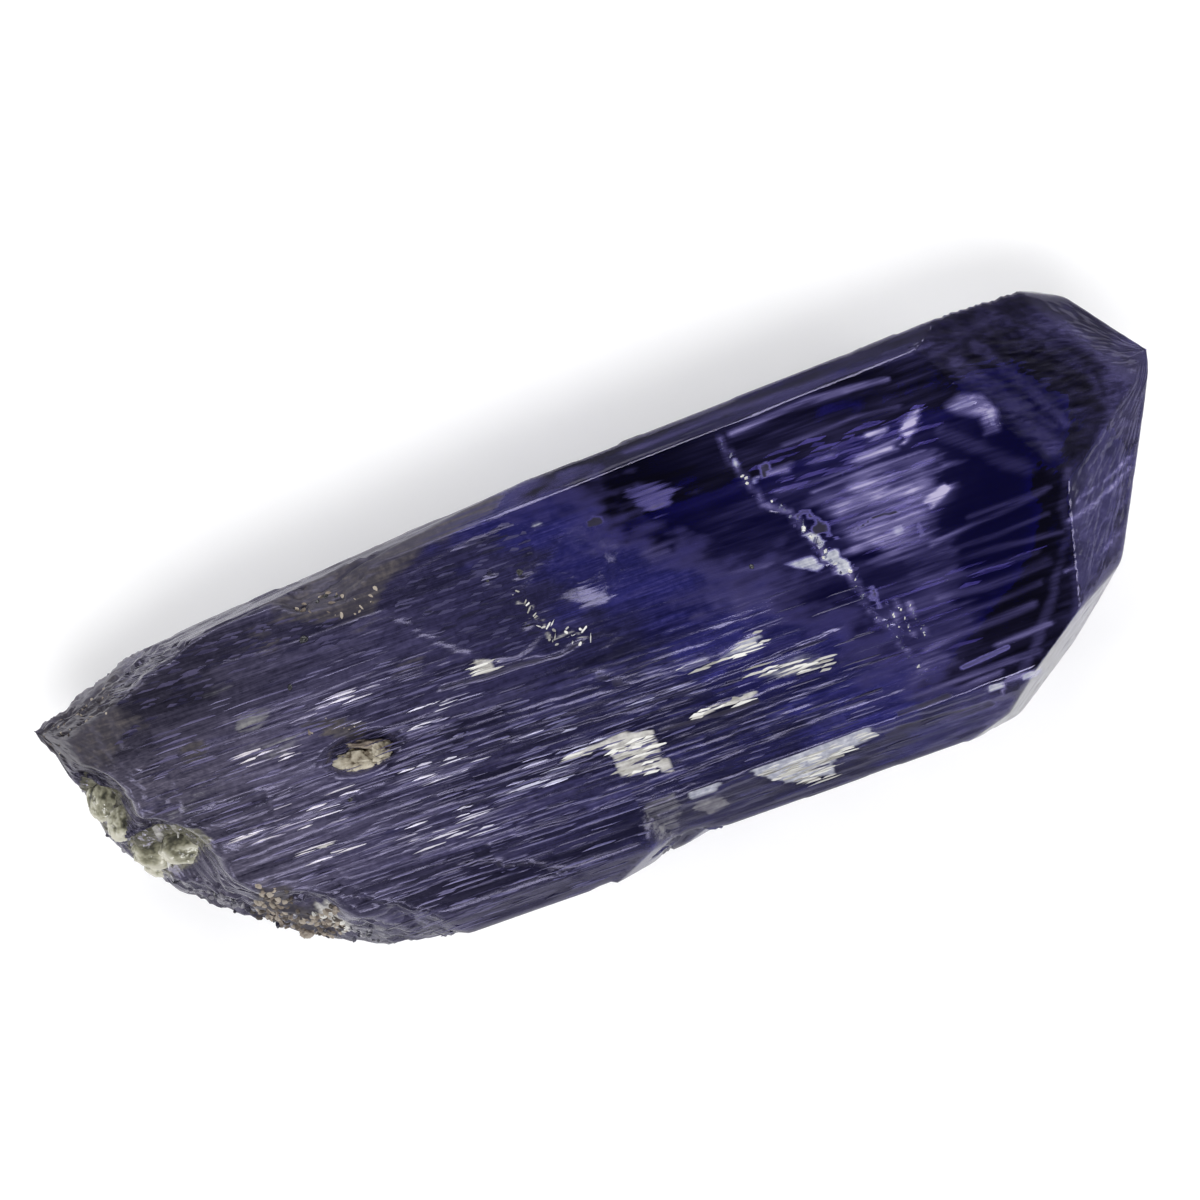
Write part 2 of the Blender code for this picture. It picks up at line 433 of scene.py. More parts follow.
def patch(outline, soft=0.2, warp=0.25, strength=1.0):
    """A filled outline with a soft edge this many millimetres wide."""
    near, inside = distance_to(outline, True, warp)
    return strength * smooth_step(-soft, soft, np.where(inside, near, -near)) * seen_above


def stroke(line, half_width, soft=0.5, warp=0.1, strength=1.0):
    """A drawn line of this half width in mm."""
    near, _ = distance_to(line, False, warp)
    return strength * (1 - smooth_step(half_width * (1 - soft), half_width * (1 + soft), near)) * seen_above


def strongest(*masks):
    """The strongest of several masks at each point."""
    return np.max(masks, axis=0)


def oval(x, y, half_x, half_y):
    """Eight points of an oval, as an outline."""
    turns = np.arange(8) * math.pi / 4
    return [(x + half_x * math.cos(turn), y + half_y * math.sin(turn)) for turn in turns]


# %% Outlines of the terraces, windows and stains
SMOOTH_TERRACE = ((-6.02, 4.78), (-4.21, 5.20), (-2.25, 5.35), (-1.60, 5.06), (-2.04, 3.56), (-2.57, 3.10),
                  (-2.30, 1.53), (-3.48, 1.04), (-4.69, 1.28), (-4.90, 1.72), (-6.05, 2.86), (-6.88, 3.89))
LOWER_TERRACE = ((-4.72, 0.92), (-3.51, 0.95), (-1.35, 0.83), (-0.58, 0.93), (-0.29, 0.46), (-2.38, 0.00),
                 (-4.00, -0.44), (-5.81, -0.35), (-7.04, 0.09), (-6.23, 0.54))
ROOT_TIP = ((-19.6, 4.2), (-17.59, 4.9), (-16.04, 5.3), (-15.76, 4.28), (-16.00, 3.08), (-16.84, 2.27),
            (-18.12, 2.1), (-19.4, 2.6))
BROWN_SPOT = oval(-14.38, 1.68, 0.5, 0.42)
BROWN_STAIN = ((-10.79, 1.42), (-10.11, 1.27), (-8.78, 0.61), (-9.04, 0.15), (-9.91, 0.55), (-10.66, 1.00))
GREY_PATCH = ((-12.73, 2.19), (-12.01, 2.40), (-11.45, 2.16), (-11.65, 1.72), (-12.22, 1.55), (-12.90, 1.70))
PALE_PATCH = ((-12.58, 1.31), (-11.02, 1.04), (-10.98, 0.38), (-12.21, 0.54), (-12.83, 0.85))
OLIVE_BAND = ((-10.80, 5.9), (-8.17, 6.4), (-5.2, 6.6), (-1.5, 6.8), (-2.6, 5.75), (-5.0, 5.35), (-6.6, 4.6),
              (-7.12, 4.25), (-7.41, 3.71), (-8.42, 3.98), (-9.48, 4.35), (-10.21, 4.89))
OLIVE_SPOTS = (oval(-11.12, 4.38, 0.6, 0.5), oval(-6.87, 1.87, 0.5, 0.42))
VIOLET_SMUDGE = ((1.75, 5.16), (3.41, 4.66), (3.09, 4.04), (2.35, 4.02), (1.92, 4.36), (1.55, 4.86))
CRUST = ((-13.75, -3.05), (-13.08, -3.47), (-12.93, -4.35), (-12.60, -4.47), (-11.65, -4.62), (-11.80, -5.58),
         (-12.68, -5.75), (-13.27, -5.4), (-14.3, -4.8), (-14.6, -4.05))
WINDOW_ONE = ((-18.14, 2.09), (-17.84, 1.52), (-17.13, 1.18), (-17.26, 0.67), (-17.23, 0.39), (-17.51, -0.16),
              (-18.3, -0.3), (-18.8, 0.41), (-18.8, 1.3))
WINDOW_TWO = ((-17.35, -0.49), (-16.94, -0.36), (-15.69, -0.48), (-14.95, -0.97), (-14.82, -1.39),
              (-15.43, -1.81), (-16.34, -2.14), (-17.0, -2.1), (-17.75, -1.28), (-17.7, -0.87))

# %% Terrace, stain, glass and pale masks
terrace = strongest(patch(SMOOTH_TERRACE, 0.08, 0.1), patch(LOWER_TERRACE, 0.15, 0.2, 0.8))
stain = strongest(
    patch(ROOT_TIP, 0.7, 0.5, 0.8),
    patch(BROWN_SPOT, 0.12, 0.15, 0.75),
    patch(BROWN_STAIN, 0.15, 0.25, 1.0),
    patch(OLIVE_BAND, 0.4, 0.6, 0.7),
    *[patch(spot, 0.3, 0.4, 0.5) for spot in OLIVE_SPOTS],
    patch(VIOLET_SMUDGE, 0.25, 0.3, 0.5),
    patch(CRUST, 0.3, 0.3, 0.9),
)
glassy = strongest(patch(WINDOW_ONE, 0.12, 0.15), patch(WINDOW_TWO, 0.15, 0.12))
pale = strongest(
    patch(GREY_PATCH, 0.2, 0.3, 0.75),
    patch(PALE_PATCH, 0.35, 0.5, 0.55),
    patch(oval(-13.6, 0.75, 0.9, 0.3), 0.3, 0.4, 0.4),
    patch(oval(-15.0, 0.15, 0.8, 0.3), 0.3, 0.4, 0.4),
    patch(oval(-15.19, 4.9, 0.22, 0.16), 0.1, 0.1, 0.9),
    patch(oval(-13.0, 3.4, 0.5, 0.22), 0.2, 0.3, 0.35),
    patch(oval(-3.2, 6.35, 0.7, 0.12), 0.1, 0.2, 0.9),
    patch(((0.43, -5.34), (1.36, -5.50), (1.44, -5.88), (0.86, -5.95), (0.37, -5.60)), 0.1, 0.1, 0.9),
    patch(((-1.16, -4.87), (-0.06, -4.89), (0.01, -5.47), (-0.44, -6.3), (-0.95, -6.5), (-1.42, -5.60)),
          0.1, 0.05, 0.5),
)

# %% The lavender window and the hazes
LAVENDER_WINDOW = ((7.18, 2.45), (9.05, 2.80), (9.95, 2.76), (11.35, 2.81), (11.26, 2.30), (11.68, 1.69),
                   (11.71, 1.49), (10.82, 1.07), (10.24, 0.45), (10.37, 0.04), (9.51, -0.03), (8.78, 0.23),
                   (8.19, 0.90), (7.81, 1.40))
LAVENDER_CLOUD = ((0.94, 3.15), (1.98, 2.96), (2.69, 2.89), (2.74, 2.51), (1.39, 2.34), (1.43, 1.68),
                  (1.00, 2.02), (0.74, 2.85))
MIDDLE_HAZE = ((-1.5, 2.0), (2.5, 2.6), (5.8, 1.4), (6.9, 0.2), (5.0, -0.6), (1.0, -0.2), (-1.0, 0.6))
UPPER_HAZE = ((5.6, 5.2), (9.0, 5.0), (11.9, 4.4), (11.6, 3.0), (8.0, 3.0), (6.2, 3.2))
LOW_HAZE = ((7.83, -0.63), (10.51, -0.84), (10.87, -3.73), (8.95, -4.4), (6.4, -3.4), (7.6, -2.31))
RIM_HAZE = ((14.9, -0.9), (16.3, 1.1), (17.4, 2.4), (17.6, 3.6), (18.4, 4.6), (19.5, 4.2),
            (19.3, 2.6), (18.0, -0.6), (16.6, -2.6), (14.6, -4.0), (12.6, -5.6), (14.2, -3.4))
# Patches of veil: outline, softness, warp, strength
VEIL_PATCHES = (
    (LAVENDER_WINDOW, 0.6, 0.6, 0.62),
    (((8.60, 2.70), (9.48, 2.80), (10.33, 2.53), (9.69, 1.95), (8.82, 2.10)), 0.45, 0.4, 1.0),
    (((9.6, 1.9), (10.6, 2.2), (11.2, 1.9), (10.4, 1.5)), 0.3, 0.3, 0.75),
    (((7.3, 2.3), (8.6, 2.5), (8.4, 1.7), (7.8, 1.6)), 0.35, 0.3, 0.72),
    (((8.3, 1.0), (9.0, 1.45), (9.9, 1.35), (10.3, 0.8), (9.7, 0.3), (8.9, 0.3)), 0.2, 0.15, 0.7),
    (((10.80, 1.54), (11.67, 1.74), (11.71, 1.49), (10.82, 1.07)), 0.12, 0.2, 1.0),
    (((6.19, 4.09), (7.10, 4.05), (6.90, 3.75), (6.22, 3.90)), 0.12, 0.2, 0.75),
    (((7.4, 3.9), (8.9, 4.0), (8.8, 3.75), (7.5, 3.7)), 0.15, 0.25, 0.5),
    (((9.70, 4.13), (10.41, 4.07), (10.24, 3.80), (9.63, 3.90)), 0.12, 0.2, 0.9),
    (((10.74, 4.0), (11.48, 4.34), (11.35, 3.67), (10.73, 3.40)), 0.14, 0.2, 0.95),
    (((9.0, 3.45), (10.54, 3.6), (10.5, 3.25), (9.2, 3.2)), 0.15, 0.25, 0.7),
    (UPPER_HAZE, 0.5, 0.7, 0.08),
    (LAVENDER_CLOUD, 0.35, 0.4, 0.5),
    (MIDDLE_HAZE, 0.8, 0.9, 0.25),
    (LOW_HAZE, 0.7, 0.7, 0.25),
    (((9.3, -0.3), (11.0, -0.2), (11.2, -1.4), (9.4, -1.6)), 0.4, 0.4, 0.3),
    (((7.9, -3.3), (9.6, -3.2), (10.2, -4.0), (8.4, -4.2)), 0.4, 0.4, 0.5),
    (((12.30, 4.15), (12.88, 4.36), (13.62, 4.08), (13.95, 3.35), (13.76, 2.80), (13.30, 2.82),
      (13.32, 3.42), (12.63, 3.75)), 0.16, 0.06, 0.62),
    (((3.0, -1.6), (5.6, -1.7), (6.4, -2.6), (4.0, -2.5)), 0.4, 0.5, 0.4),
    (((2.2, 0.9), (4.6, 0.9), (6.0, 0.2), (4.4, -0.2), (2.4, 0.2)), 0.4, 0.6, 0.42),
    (RIM_HAZE, 0.25, 0.06, 0.28),
)
print("veil patches:", len(VEIL_PATCHES))

# %% Long veils
# Long veils that run along the clear end: line, half width, strength
VEIL_STROKES = (
    (((11.9, 0.42), (14.63, 0.45)), 0.09, 0.55),
    (((10.33, 0.02), (12.76, 0.18), (14.49, 0.39)), 0.10, 0.6),
    (((10.4, -0.4), (12.6, -0.45), (14.3, -0.35)), 0.08, 0.38),
    (((10.97, -0.78), (12.80, -0.87), (14.52, -1.07)), 0.10, 0.45),
    (((9.6, -1.2), (11.4, -1.35), (13.6, -1.4)), 0.08, 0.4),
    (((10.09, -1.70), (11.75, -1.88), (13.85, -1.79)), 0.14, 0.5),
    (((9.4, -2.3), (11.6, -2.5), (13.4, -2.4)), 0.1, 0.4),
    (((9.2, -3.2), (11.2, -3.1), (12.9, -3.0)), 0.14, 0.48),
    (((11.33, -3.87), (13.16, -3.76)), 0.12, 0.5),
    (((7.9, -4.55), (11.4, -4.5), (12.6, -4.5)), 0.10, 0.45),
    (((4.8, -4.75), (8.8, -4.8), (11.2, -4.75)), 0.07, 0.5),
    (((6.2, 3.35), (8.0, 3.2), (9.8, 3.25)), 0.08, 0.5),
    (((7.4, 2.9), (9.6, 3.0), (11.2, 3.0)), 0.07, 0.6),
    (((7.0, 4.7), (9.4, 4.75), (11.0, 4.6)), 0.08, 0.35),
    (((5.6, 5.65), (8.2, 5.85), (10.9, 5.6)), 0.10, 0.6),
    (((2.0, 6.25), (5.0, 6.35), (9.0, 6.3), (12.6, 6.2)), 0.12, 0.3),
    (((13.2, 5.3), (14.2, 3.9), (15.27, 1.63)), 0.30, 0.42),
    (((14.0, 5.7), (14.7, 4.5), (15.6, 3.0), (15.9, 2.2)), 0.2, 0.3),
    (((14.63, 3.51), (15.43, 2.27)), 0.16, 0.3),
    (((12.0, 3.3), (13.1, 2.3), (14.2, 1.3)), 0.26, 0.3),
    (((12.6, 5.9), (15.0, 6.4), (16.0, 5.4), (17.2, 3.6), (17.4, 2.5)), 0.22, 0.2),
    (((15.44, 0.75), (14.80, -0.39), (14.79, -1.09), (13.4, -3.2), (11.9, -4.9)), 0.16, 0.3),
    (((16.3, 5.9), (17.4, 4.7), (18.3, 3.6)), 0.34, 0.3),
    (((14.90, -0.79), (16.2, -0.5), (17.61, 0.25)), 0.09, 0.7),
    (((15.36, -0.26), (16.6, 0.05), (17.64, 0.52)), 0.08, 0.62),
    (((14.9, -1.5), (16.2, -1.2), (17.4, -0.5)), 0.07, 0.5),
    (((14.3, -2.3), (15.6, -2.1), (16.7, -1.6)), 0.07, 0.5),
    (((10.52, -6.13), (11.0, -5.5), (11.33, -5.04), (12.21, -5.07)), 0.07, 0.75),
    (((-1.62, 3.96), (-1.10, 4.14), (-0.24, 3.98), (0.62, 3.54), (0.91, 2.79), (0.62, 2.25), (0.10, 2.06)),
     0.17, 0.5),
    (((-1.16, 3.43), (-0.62, 3.42), (-0.18, 3.08), (-0.03, 2.48), (0.29, 2.09)), 0.13, 0.48),
    (((-1.43, 2.42), (-0.29, 2.02)), 0.08, 0.5),
    (((-0.9, 3.8), (-0.1, 3.6), (0.35, 2.9)), 0.12, 0.45),
    (((1.2, 1.6), (3.4, 1.5), (5.2, 1.2)), 0.1, 0.4),
    (((-0.6, 0.3), (2.0, 0.45), (4.5, 0.35)), 0.1, 0.35),
)
print("long veils:", len(VEIL_STROKES))

# %% Healed crack, frosted spots and a painted highlight
HEALED_CRACK = ((5.18, 5.64), (5.19, 4.90), (5.56, 3.85), (5.76, 3.14), (6.41, 2.63), (6.59, 2.11), (6.78, 1.58),
                (7.01, 0.95), (7.33, 0.29), (7.68, -0.02), (7.72, -0.95), (8.00, -1.70), (8.37, -2.47),
                (8.63, -3.30), (8.84, -4.02))
CRACK_RUNGS = (((8.43, -1.25), (8.66, -2.55)), ((8.76, -1.3), (8.92, -2.7)), ((9.12, -1.5), (9.3, -2.75)))
BLUE_LENS = ((5.66, 1.08), (6.57, 1.05), (7.0, 0.62), (6.74, 0.40), (6.13, 0.75))
# Pale blue-white marks: outline, softness, warp, strength. The two near x 13 mm paint the pale bright top of a
# round blue blob, a painted highlight.
FROST_AND_HIGHLIGHT_PATCHES = (
    (BLUE_LENS, 0.12, 0.1, 0.75),
    (((6.65, 1.75), (6.95, 1.75), (7.2, 1.3), (7.0, 1.2)), 0.08, 0.05, 1.0),
    (((7.0, 0.95), (7.5, 0.95), (7.8, 0.1), (7.4, 0.05)), 0.1, 0.08, 1.0),
    (((5.24, 4.9), (5.5, 4.9), (5.5, 4.6), (5.3, 4.6)), 0.08, 0.06, 0.8),
    (((5.75, 4.1), (5.95, 4.05), (5.85, 3.8), (5.7, 3.85)), 0.07, 0.06, 0.8),
    (((12.36, 4.05), (12.88, 4.25), (13.5, 4.0), (13.3, 3.8), (12.7, 3.85)), 0.12, 0.05, 0.35),
    (((13.55, 3.6), (13.8, 3.3), (13.7, 2.95), (13.5, 3.0)), 0.06, 0.05, 0.4),
    (((9.3, 1.0), (9.8, 1.0), (9.7, 0.65), (9.35, 0.65)), 0.12, 0.1, 0.5),
    (((0.35, -5.03), (1.45, -5.05), (1.28, -5.27), (0.27, -5.28)), 0.08, 0.05, 0.85),
    (((2.33, -5.02), (4.06, -5.02), (6.6, -5.02), (6.72, -5.40), (5.79, -5.44), (5.18, -5.65), (4.92, -6.15),
      (3.31, -5.75)), 0.07, 0.12, 1.0),
    (((2.46, -1.14), (3.28, -0.85), (4.3, -0.70), (4.3, -1.2), (3.44, -1.26)), 0.12, 0.25, 0.62),
    (((1.5, -0.98), (2.25, -1.0), (2.25, -1.22), (1.5, -1.2)), 0.08, 0.15, 0.5),
    (((3.4, -1.8), (5.0, -1.9), (6.2, -2.5), (4.8, -2.6)), 0.25, 0.35, 0.42),
    (((10.61, -5.0), (11.22, -5.04), (11.2, -5.25), (10.6, -5.25)), 0.06, 0.05, 0.8),
    (((11.84, -5.03), (12.54, -5.0), (12.5, -5.22), (11.8, -5.25)), 0.06, 0.05, 0.7),
    (oval(-1.4, 5.0, 0.22, 0.1), 0.08, 0.05, 0.5),
)

print("frosted spots:", len(FROST_AND_HIGHLIGHT_PATCHES))

# %% Where the gem is clear, veiled, frosted and painted with a highlight
# The clearest and darkest part, where long veils fade
DEEP_POOL = ((11.7, 3.4), (13.0, 2.6), (12.6, 4.9), (14.2, 6.2), (15.4, 4.6), (16.3, 2.6), (15.4, 0.9),
             (14.8, -0.4), (14.9, -1.2), (13.2, -3.5), (11.0, -3.6), (10.2, -1.6), (11.2, 0.2), (12.0, 1.4))
deep_pool = patch(DEEP_POOL, 1.2, 0.6)
clear = smooth_step(-3.0, 9.0, X + 3.2 * (busy - 0.5) + 1.0 * (Y - 0.5)) * on_top
clear = np.where(upness < 0.35, smooth_step(-6.0, 6.0, X + 4.0 * (busy - 0.5)), clear)
veil = strongest(
    *[patch(outline, soft, warp, strength) for outline, soft, warp, strength in VEIL_PATCHES],
    *[stroke(line, half, 0.8, 0.12, strength) * (1 - 0.55 * deep_pool) for line, half, strength in VEIL_STROKES],
    stroke(HEALED_CRACK, 0.11, 0.8, 0.12, 0.5),
    *[stroke(rung, 0.06, 0.7, 0.08, 0.6) for rung in CRACK_RUNGS],
    0.20 * smooth_step(2.0, 6.0, X) * streaky * seen_above * (1 - 0.9 * deep_pool),
)
frost_and_highlight = strongest(*[patch(outline, soft, warp, strength) for outline, soft, warp, strength in FROST_AND_HIGHLIGHT_PATCHES])
clear = np.clip(clear - 0.15 * terrace, 0, 1)
print("clear share of the skin:", clear.mean().round(2))

# %% Outlines of white, cream and dark marks
CREAM_BLOCK = ((-1.78, -2.46), (-1.14, -2.42), (-0.18, -2.70), (-0.10, -3.29), (-0.20, -3.71), (-0.48, -3.98),
               (-1.52, -3.80), (-1.54, -3.33), (-1.64, -2.84))
CREAM_TAIL = ((-2.92, -2.57), (-2.36, -2.53), (-1.81, -2.55))
FRACTURE_LINE = ((-2.79, 3.00), (-2.69, 2.50), (-2.49, 2.15), (-2.24, 1.70), (-2.14, 1.20), (-1.56, 1.27),
                 (-1.13, 0.94))
PINK_STREAK = ((1.32, -2.67), (2.14, -2.56), (3.49, -2.63))
# Dark lines: line, half width in mm, strength. Those beside the healed crack and the one along the far top edge
# paint the shadow in those creases: painted shade.
DARK_LINES = (
    (((-7.37, -4.76), (-6.54, -5.01), (-6.10, -5.30), (-5.35, -5.52), (-4.82, -5.85), (-3.88, -6.32)), 0.05, 0.9),
    (((0.20, -2.84), (1.41, -2.81), (3.58, -2.89)), 0.07, 0.8),
    (((-6.28, 0.92), (-4.84, 0.83), (-3.54, 0.87), (-2.12, 0.74), (-1.24, 0.88)), 0.05, 0.7),
    (((-1.24, -0.40), (-0.51, -0.94)), 0.12, 0.6),
    (((7.05, -5.45), (10.6, -5.65)), 0.14, 0.6),
    (((10.2, -4.15), (11.6, -4.05)), 0.09, 0.7),
    (((7.6, -4.9), (9.4, -4.85)), 0.1, 0.7),
    (((6.5, 2.3), (6.9, 2.45), (7.2, 1.9), (7.5, 1.3)), 0.08, 0.7),
    (((8.1, -0.7), (8.2, -1.3)), 0.1, 0.7),
    (((8.22, 1.26), (9.05, 1.51), (9.76, 1.45)), 0.05, 0.8),
    (((10.1, 0.3), (10.2, 0.8)), 0.07, 0.6),
    (((-8.9, 5.3), (-6.0, 6.0), (-1.6, 6.55)), 0.08, 0.6),
    (((7.49, -5.35), (10.65, -5.60)), 0.13, 0.75),
    (((-16.9, -0.2), (-16.3, -0.35), (-15.2, -0.5)), 0.06, 0.5),
)
# Dark spots: middle and half sizes in mm
DARK_SPOTS = ((6.2, 4.15, 0.16, 0.3), (7.15, 1.75, 0.28, 0.2), (-3.43, 4.05, 0.09, 0.08), (-2.46, 3.66, 0.16, 0.12),
              (-3.54, 3.72, 0.08, 0.07), (-2.78, 1.98, 0.1, 0.12), (0.39, 4.44, 0.3, 0.2),
              (-10.12, -1.49, 0.1, 0.07))

# %% Cream and dark masks
cream = strongest(
    patch(CREAM_BLOCK, 0.06, 0.1),
    stroke(CREAM_TAIL, 0.09, 0.5, 0.1, 0.8),
    stroke(FRACTURE_LINE, 0.05, 0.5, 0.2, 0.5),
    stroke(PINK_STREAK, 0.09, 0.5, 0.15, 0.9),
    patch(((-4.89, 1.49), (-4.41, 1.41), (-4.31, 0.91), (-4.77, 0.89)), 0.05, 0.05, 0.8),
    patch(((-0.28, -3.62), (0.11, -3.70), (0.09, -4.18), (-0.32, -4.04)), 0.05, 0.08, 0.9),
    patch(((-12.55, -4.58), (-11.70, -4.45), (-11.78, -5.13), (-11.40, -5.6), (-11.99, -5.75), (-12.18, -5.08)),
          0.1, 0.15, 0.85),
    stroke(((-16.56, -0.59), (-16.42, -1.10), (-16.25, -1.52)), 0.12, 0.5, 0.03, 0.9),
    stroke(((-15.98, -0.51), (-15.93, -0.90), (-15.82, -1.22)), 0.06, 0.5, 0.03, 0.8),
    patch(oval(-11.37, -2.67, 0.32, 0.07), 0.04, 0.03, 0.9),
)
# Dark lines and spots are painted near black; beside the crack and along the far top edge this is painted shade.
dark_marks_and_shade = strongest(
    *[stroke(line, half, 0.5, 0.12, strength) for line, half, strength in DARK_LINES],
    *[patch(oval(*spot), 0.06, 0.1, 0.9) for spot in DARK_SPOTS],
)
print("dark lines and spots:", len(DARK_LINES), len(DARK_SPOTS))

# %% [markdown]
# ## Growth lines
# The long faces of this crystal grew in thin parallel laths, so they are stepped like planks of unequal length.
# Each plank is a brick in a wall of rows: rows run along the crystal, and bricks in a row end at different places.
# A brick has its own small tilt and height. The few that tilt towards the key flash white, as in the photo, and
# the tone map paints them lighter too, a painted highlight. The lines fade out towards the clear end, on the
# terrace and on the calm shell-shaped hollow.

# %% Growth lines on the long faces
FINE_ROW_WIDTHS = (0.09, 0.26)
FINE_PLANK_LENGTHS = (0.7, 3.6)
WIDE_ROW_WIDTHS = (0.45, 1.3)
WIDE_PLANK_LENGTHS = (4.0, 15.0)
# How far a plank's level varies, in mm, and how far its tilt varies, in degrees
FINE_LEVEL = 0.02
WIDE_LEVEL = 0.06
SIDE_LEVEL = 0.05
FINE_TILT = 9
WIDE_TILT = 3
SIDE_TILT = 11
GLINT_TILT = 16
# How deep the whole surface lies under the solid, in mm, so that no plank stands out of it
SKIN_DEPTH = 0.05

calm = patch(oval(-0.4, 3.1, 1.9, 1.4), 0.4, 0.2)
far_slate = smooth_step(1.6, 3.0, Y + 0.8 * (broad - 0.5)) * (1 - smooth_step(-6.0, 0.0, X)) * on_top
rough = (1 - 0.8 * calm) * (1 - 0.85 * terrace) * (1 - 0.85 * smooth_step(-1.0, 7.0, X + 1.2 * Y))
rough = rough * (1 - 0.55 * far_slate)
# The top is not quite level, and a plank's tilt is measured from level
face_tilt = np.degrees(np.arctan2(-normals[..., 1], np.maximum(upness, 0.3))) * on_top
level_pull = 0.6 * np.clip(face_tilt, -9, 9)
fine_across, fine_width, fine_chance = planks(11, FINE_ROW_WIDTHS, FINE_PLANK_LENGTHS, wander=0.12)
wide_across, wide_width, wide_chance = planks(23, WIDE_ROW_WIDTHS, WIDE_PLANK_LENGTHS, wander=0.2)
glint_wish = 0.015 + 0.16 * smooth_step(0.5, 0.75, streaky) * smooth_step(0.35, 0.7, broad)
glint = (fine_chance[..., 0] < glint_wish * rough).astype(float)
glint_tilt = GLINT_TILT + FINE_TILT * (fine_chance[..., 1] - 0.5)
tilt = np.where(glint > 0, glint_tilt, FINE_TILT * (fine_chance[..., 1] - 0.6)) - level_pull
fine_depth = np.tan(np.radians(tilt)) * fine_width * (fine_across - 0.5) + FINE_LEVEL * fine_chance[..., 2]
wide_tilt = WIDE_TILT * (wide_chance[..., 1] - 0.7)
wide_depth = np.tan(np.radians(wide_tilt)) * wide_width * (wide_across - 0.5) + WIDE_LEVEL * wide_chance[..., 2]
depth = prism * (SKIN_DEPTH + rough * fine_depth + (0.3 + 0.7 * rough) * wide_depth + 0.1 * terrace)
side_steps = prism * (1 - seen_above)
side_tilt = np.tan(np.radians(SIDE_TILT * (wide_chance[..., 1] - 0.5))) * wide_width * (wide_across - 0.5)
side_level = SIDE_LEVEL * wide_chance[..., 2] + SIDE_LEVEL * fine_chance[..., 2]
depth = depth + side_steps * (SKIN_DEPTH + side_tilt + side_level)
print("planks that glint:", f"{100 * glint.mean():.1f} %")

# %% Broken root, natural point and marks that sink in
broken = 0.6 * chips(0.6, 5) + 0.4 * chips(0.28, 7)
cross_lines = soft_noise(0.25, 2.0, 8, 3)
root_face = (1 - prism) * (X < -8)
root_zone = 1 - smooth_step(-17.2, -13.5, X + 2.0 * (broken - 0.5) + 0.3 * Y)
depth = depth + root_face * (0.03 + 0.34 * broken * busy * 1.6) + root_zone * 0.12 * broken
depth = depth + 0.06 * patch(ROOT_TIP, 0.7, 0.5) * cross_lines + 0.1 * patch(CRUST, 0.2, 0.2) * broken
depth = depth + glassy * (0.1 + 0.2 * busy) + 0.12 * dark_marks_and_shade * (1 - smooth_step(-2.0, 1.5, X))
point_zone = (1 - prism) * (X > 5)
depth = depth + point_zone * (0.02 + 0.05 * np.abs(soft_noise(2.4, 0.35, 6) - 0.5))
depth = depth + stroke(HEALED_CRACK, 0.12, 0.7, 0.1, 0.06) + 0.05 * frost_and_highlight
print("depth, mm:", depth.min().round(3), depth.max().round(3))


# %% Build the mesh from the rings
def mesh_from_rings(name, depth):
    """Closes the rings of points into a skin, each point moved inwards by its depth."""
    out = np.clip(worn - depth, 0.02, None)
    y = ring_y[:, None] + out * np.cos(angles)
    z = np.clip(ring_z[:, None] + out * np.sin(angles), 0.0, None)
    places = np.stack([X, y, z], axis=-1).reshape(-1, 3)
    places = np.vstack([places, np.array(root_tip), np.array(point_tip)]) * MM
    count, around = reach.shape
    index = np.arange(count * around).reshape(count, around)
    ahead = np.roll(index, -1, axis=1)
    quads = np.stack([index[:-1], ahead[:-1], ahead[1:], index[1:]], axis=-1).reshape(-1, 4)
    first_tip, last_tip = count * around, count * around + 1
    fans = [(first_tip, ahead[0, k], index[0, k]) for k in range(around)]
    fans += [(last_tip, index[-1, k], ahead[-1, k]) for k in range(around)]
    mesh = bpy.data.meshes.new(name)
    mesh.from_pydata(places.tolist(), [], quads.tolist() + fans)
    mesh.validate()
    mesh.shade_smooth()
    return add_piece(name, mesh)


def paint(piece, name, values):
    """Stores one number a point, with zeros for the two tips."""
    layer = piece.data.attributes.new(name, "FLOAT", "POINT")
    flat = np.zeros(len(piece.data.vertices), np.float32)
    flat[:values.size] = np.clip(values, 0, 1).reshape(-1)
    layer.data.foreach_set("value", flat)


near_left = (1 - smooth_step(-13.0, -5.0, X)) * (1 - far_slate)
# The near steep side's tone is lowered: painted shade on that side.
near_side_shade = smooth_step(4.6, 5.4, -Y) * seen_above
# Planks that glint are painted lighter in tone as well: a painted highlight over their real tilt.
plank_tone_and_highlight = 0.30 * (fine_chance[..., 3] - 0.5) * rough + 0.22 * (wide_chance[..., 3] - 0.5) + 0.12 * glint
tone = 0.43 + 0.21 * near_left + 0.02 * far_slate - 0.1 * near_side_shade + plank_tone_and_highlight
skin = mesh_from_rings("crystal_skin", depth)
marks = {"tone": tone, "clear": clear, "veil": veil, "frost_and_highlight": frost_and_highlight, "pale": pale, "stain": stain, "glassy": glassy,
         "cream": cream, "dark_marks_and_shade": dark_marks_and_shade}
for name, values in marks.items():
    paint(skin, name, values)
print("skin made:", len(skin.data.polygons), "faces")

# %% [markdown]
# ## The tanzanite itself
# Tanzanite is blue-violet zoisite: a hard glass-like gem (IOR 1.69) that drinks red and green light within a few
# millimetres. Where its skin is fine and clean the eye falls into it, and where growth lines and tiny feathers
# crowd together it turns to slate. So the same surface runs from nearly opaque to fully clear along the
# crystal, and each mark on the map mixes in its own colour, roughness and clearness.

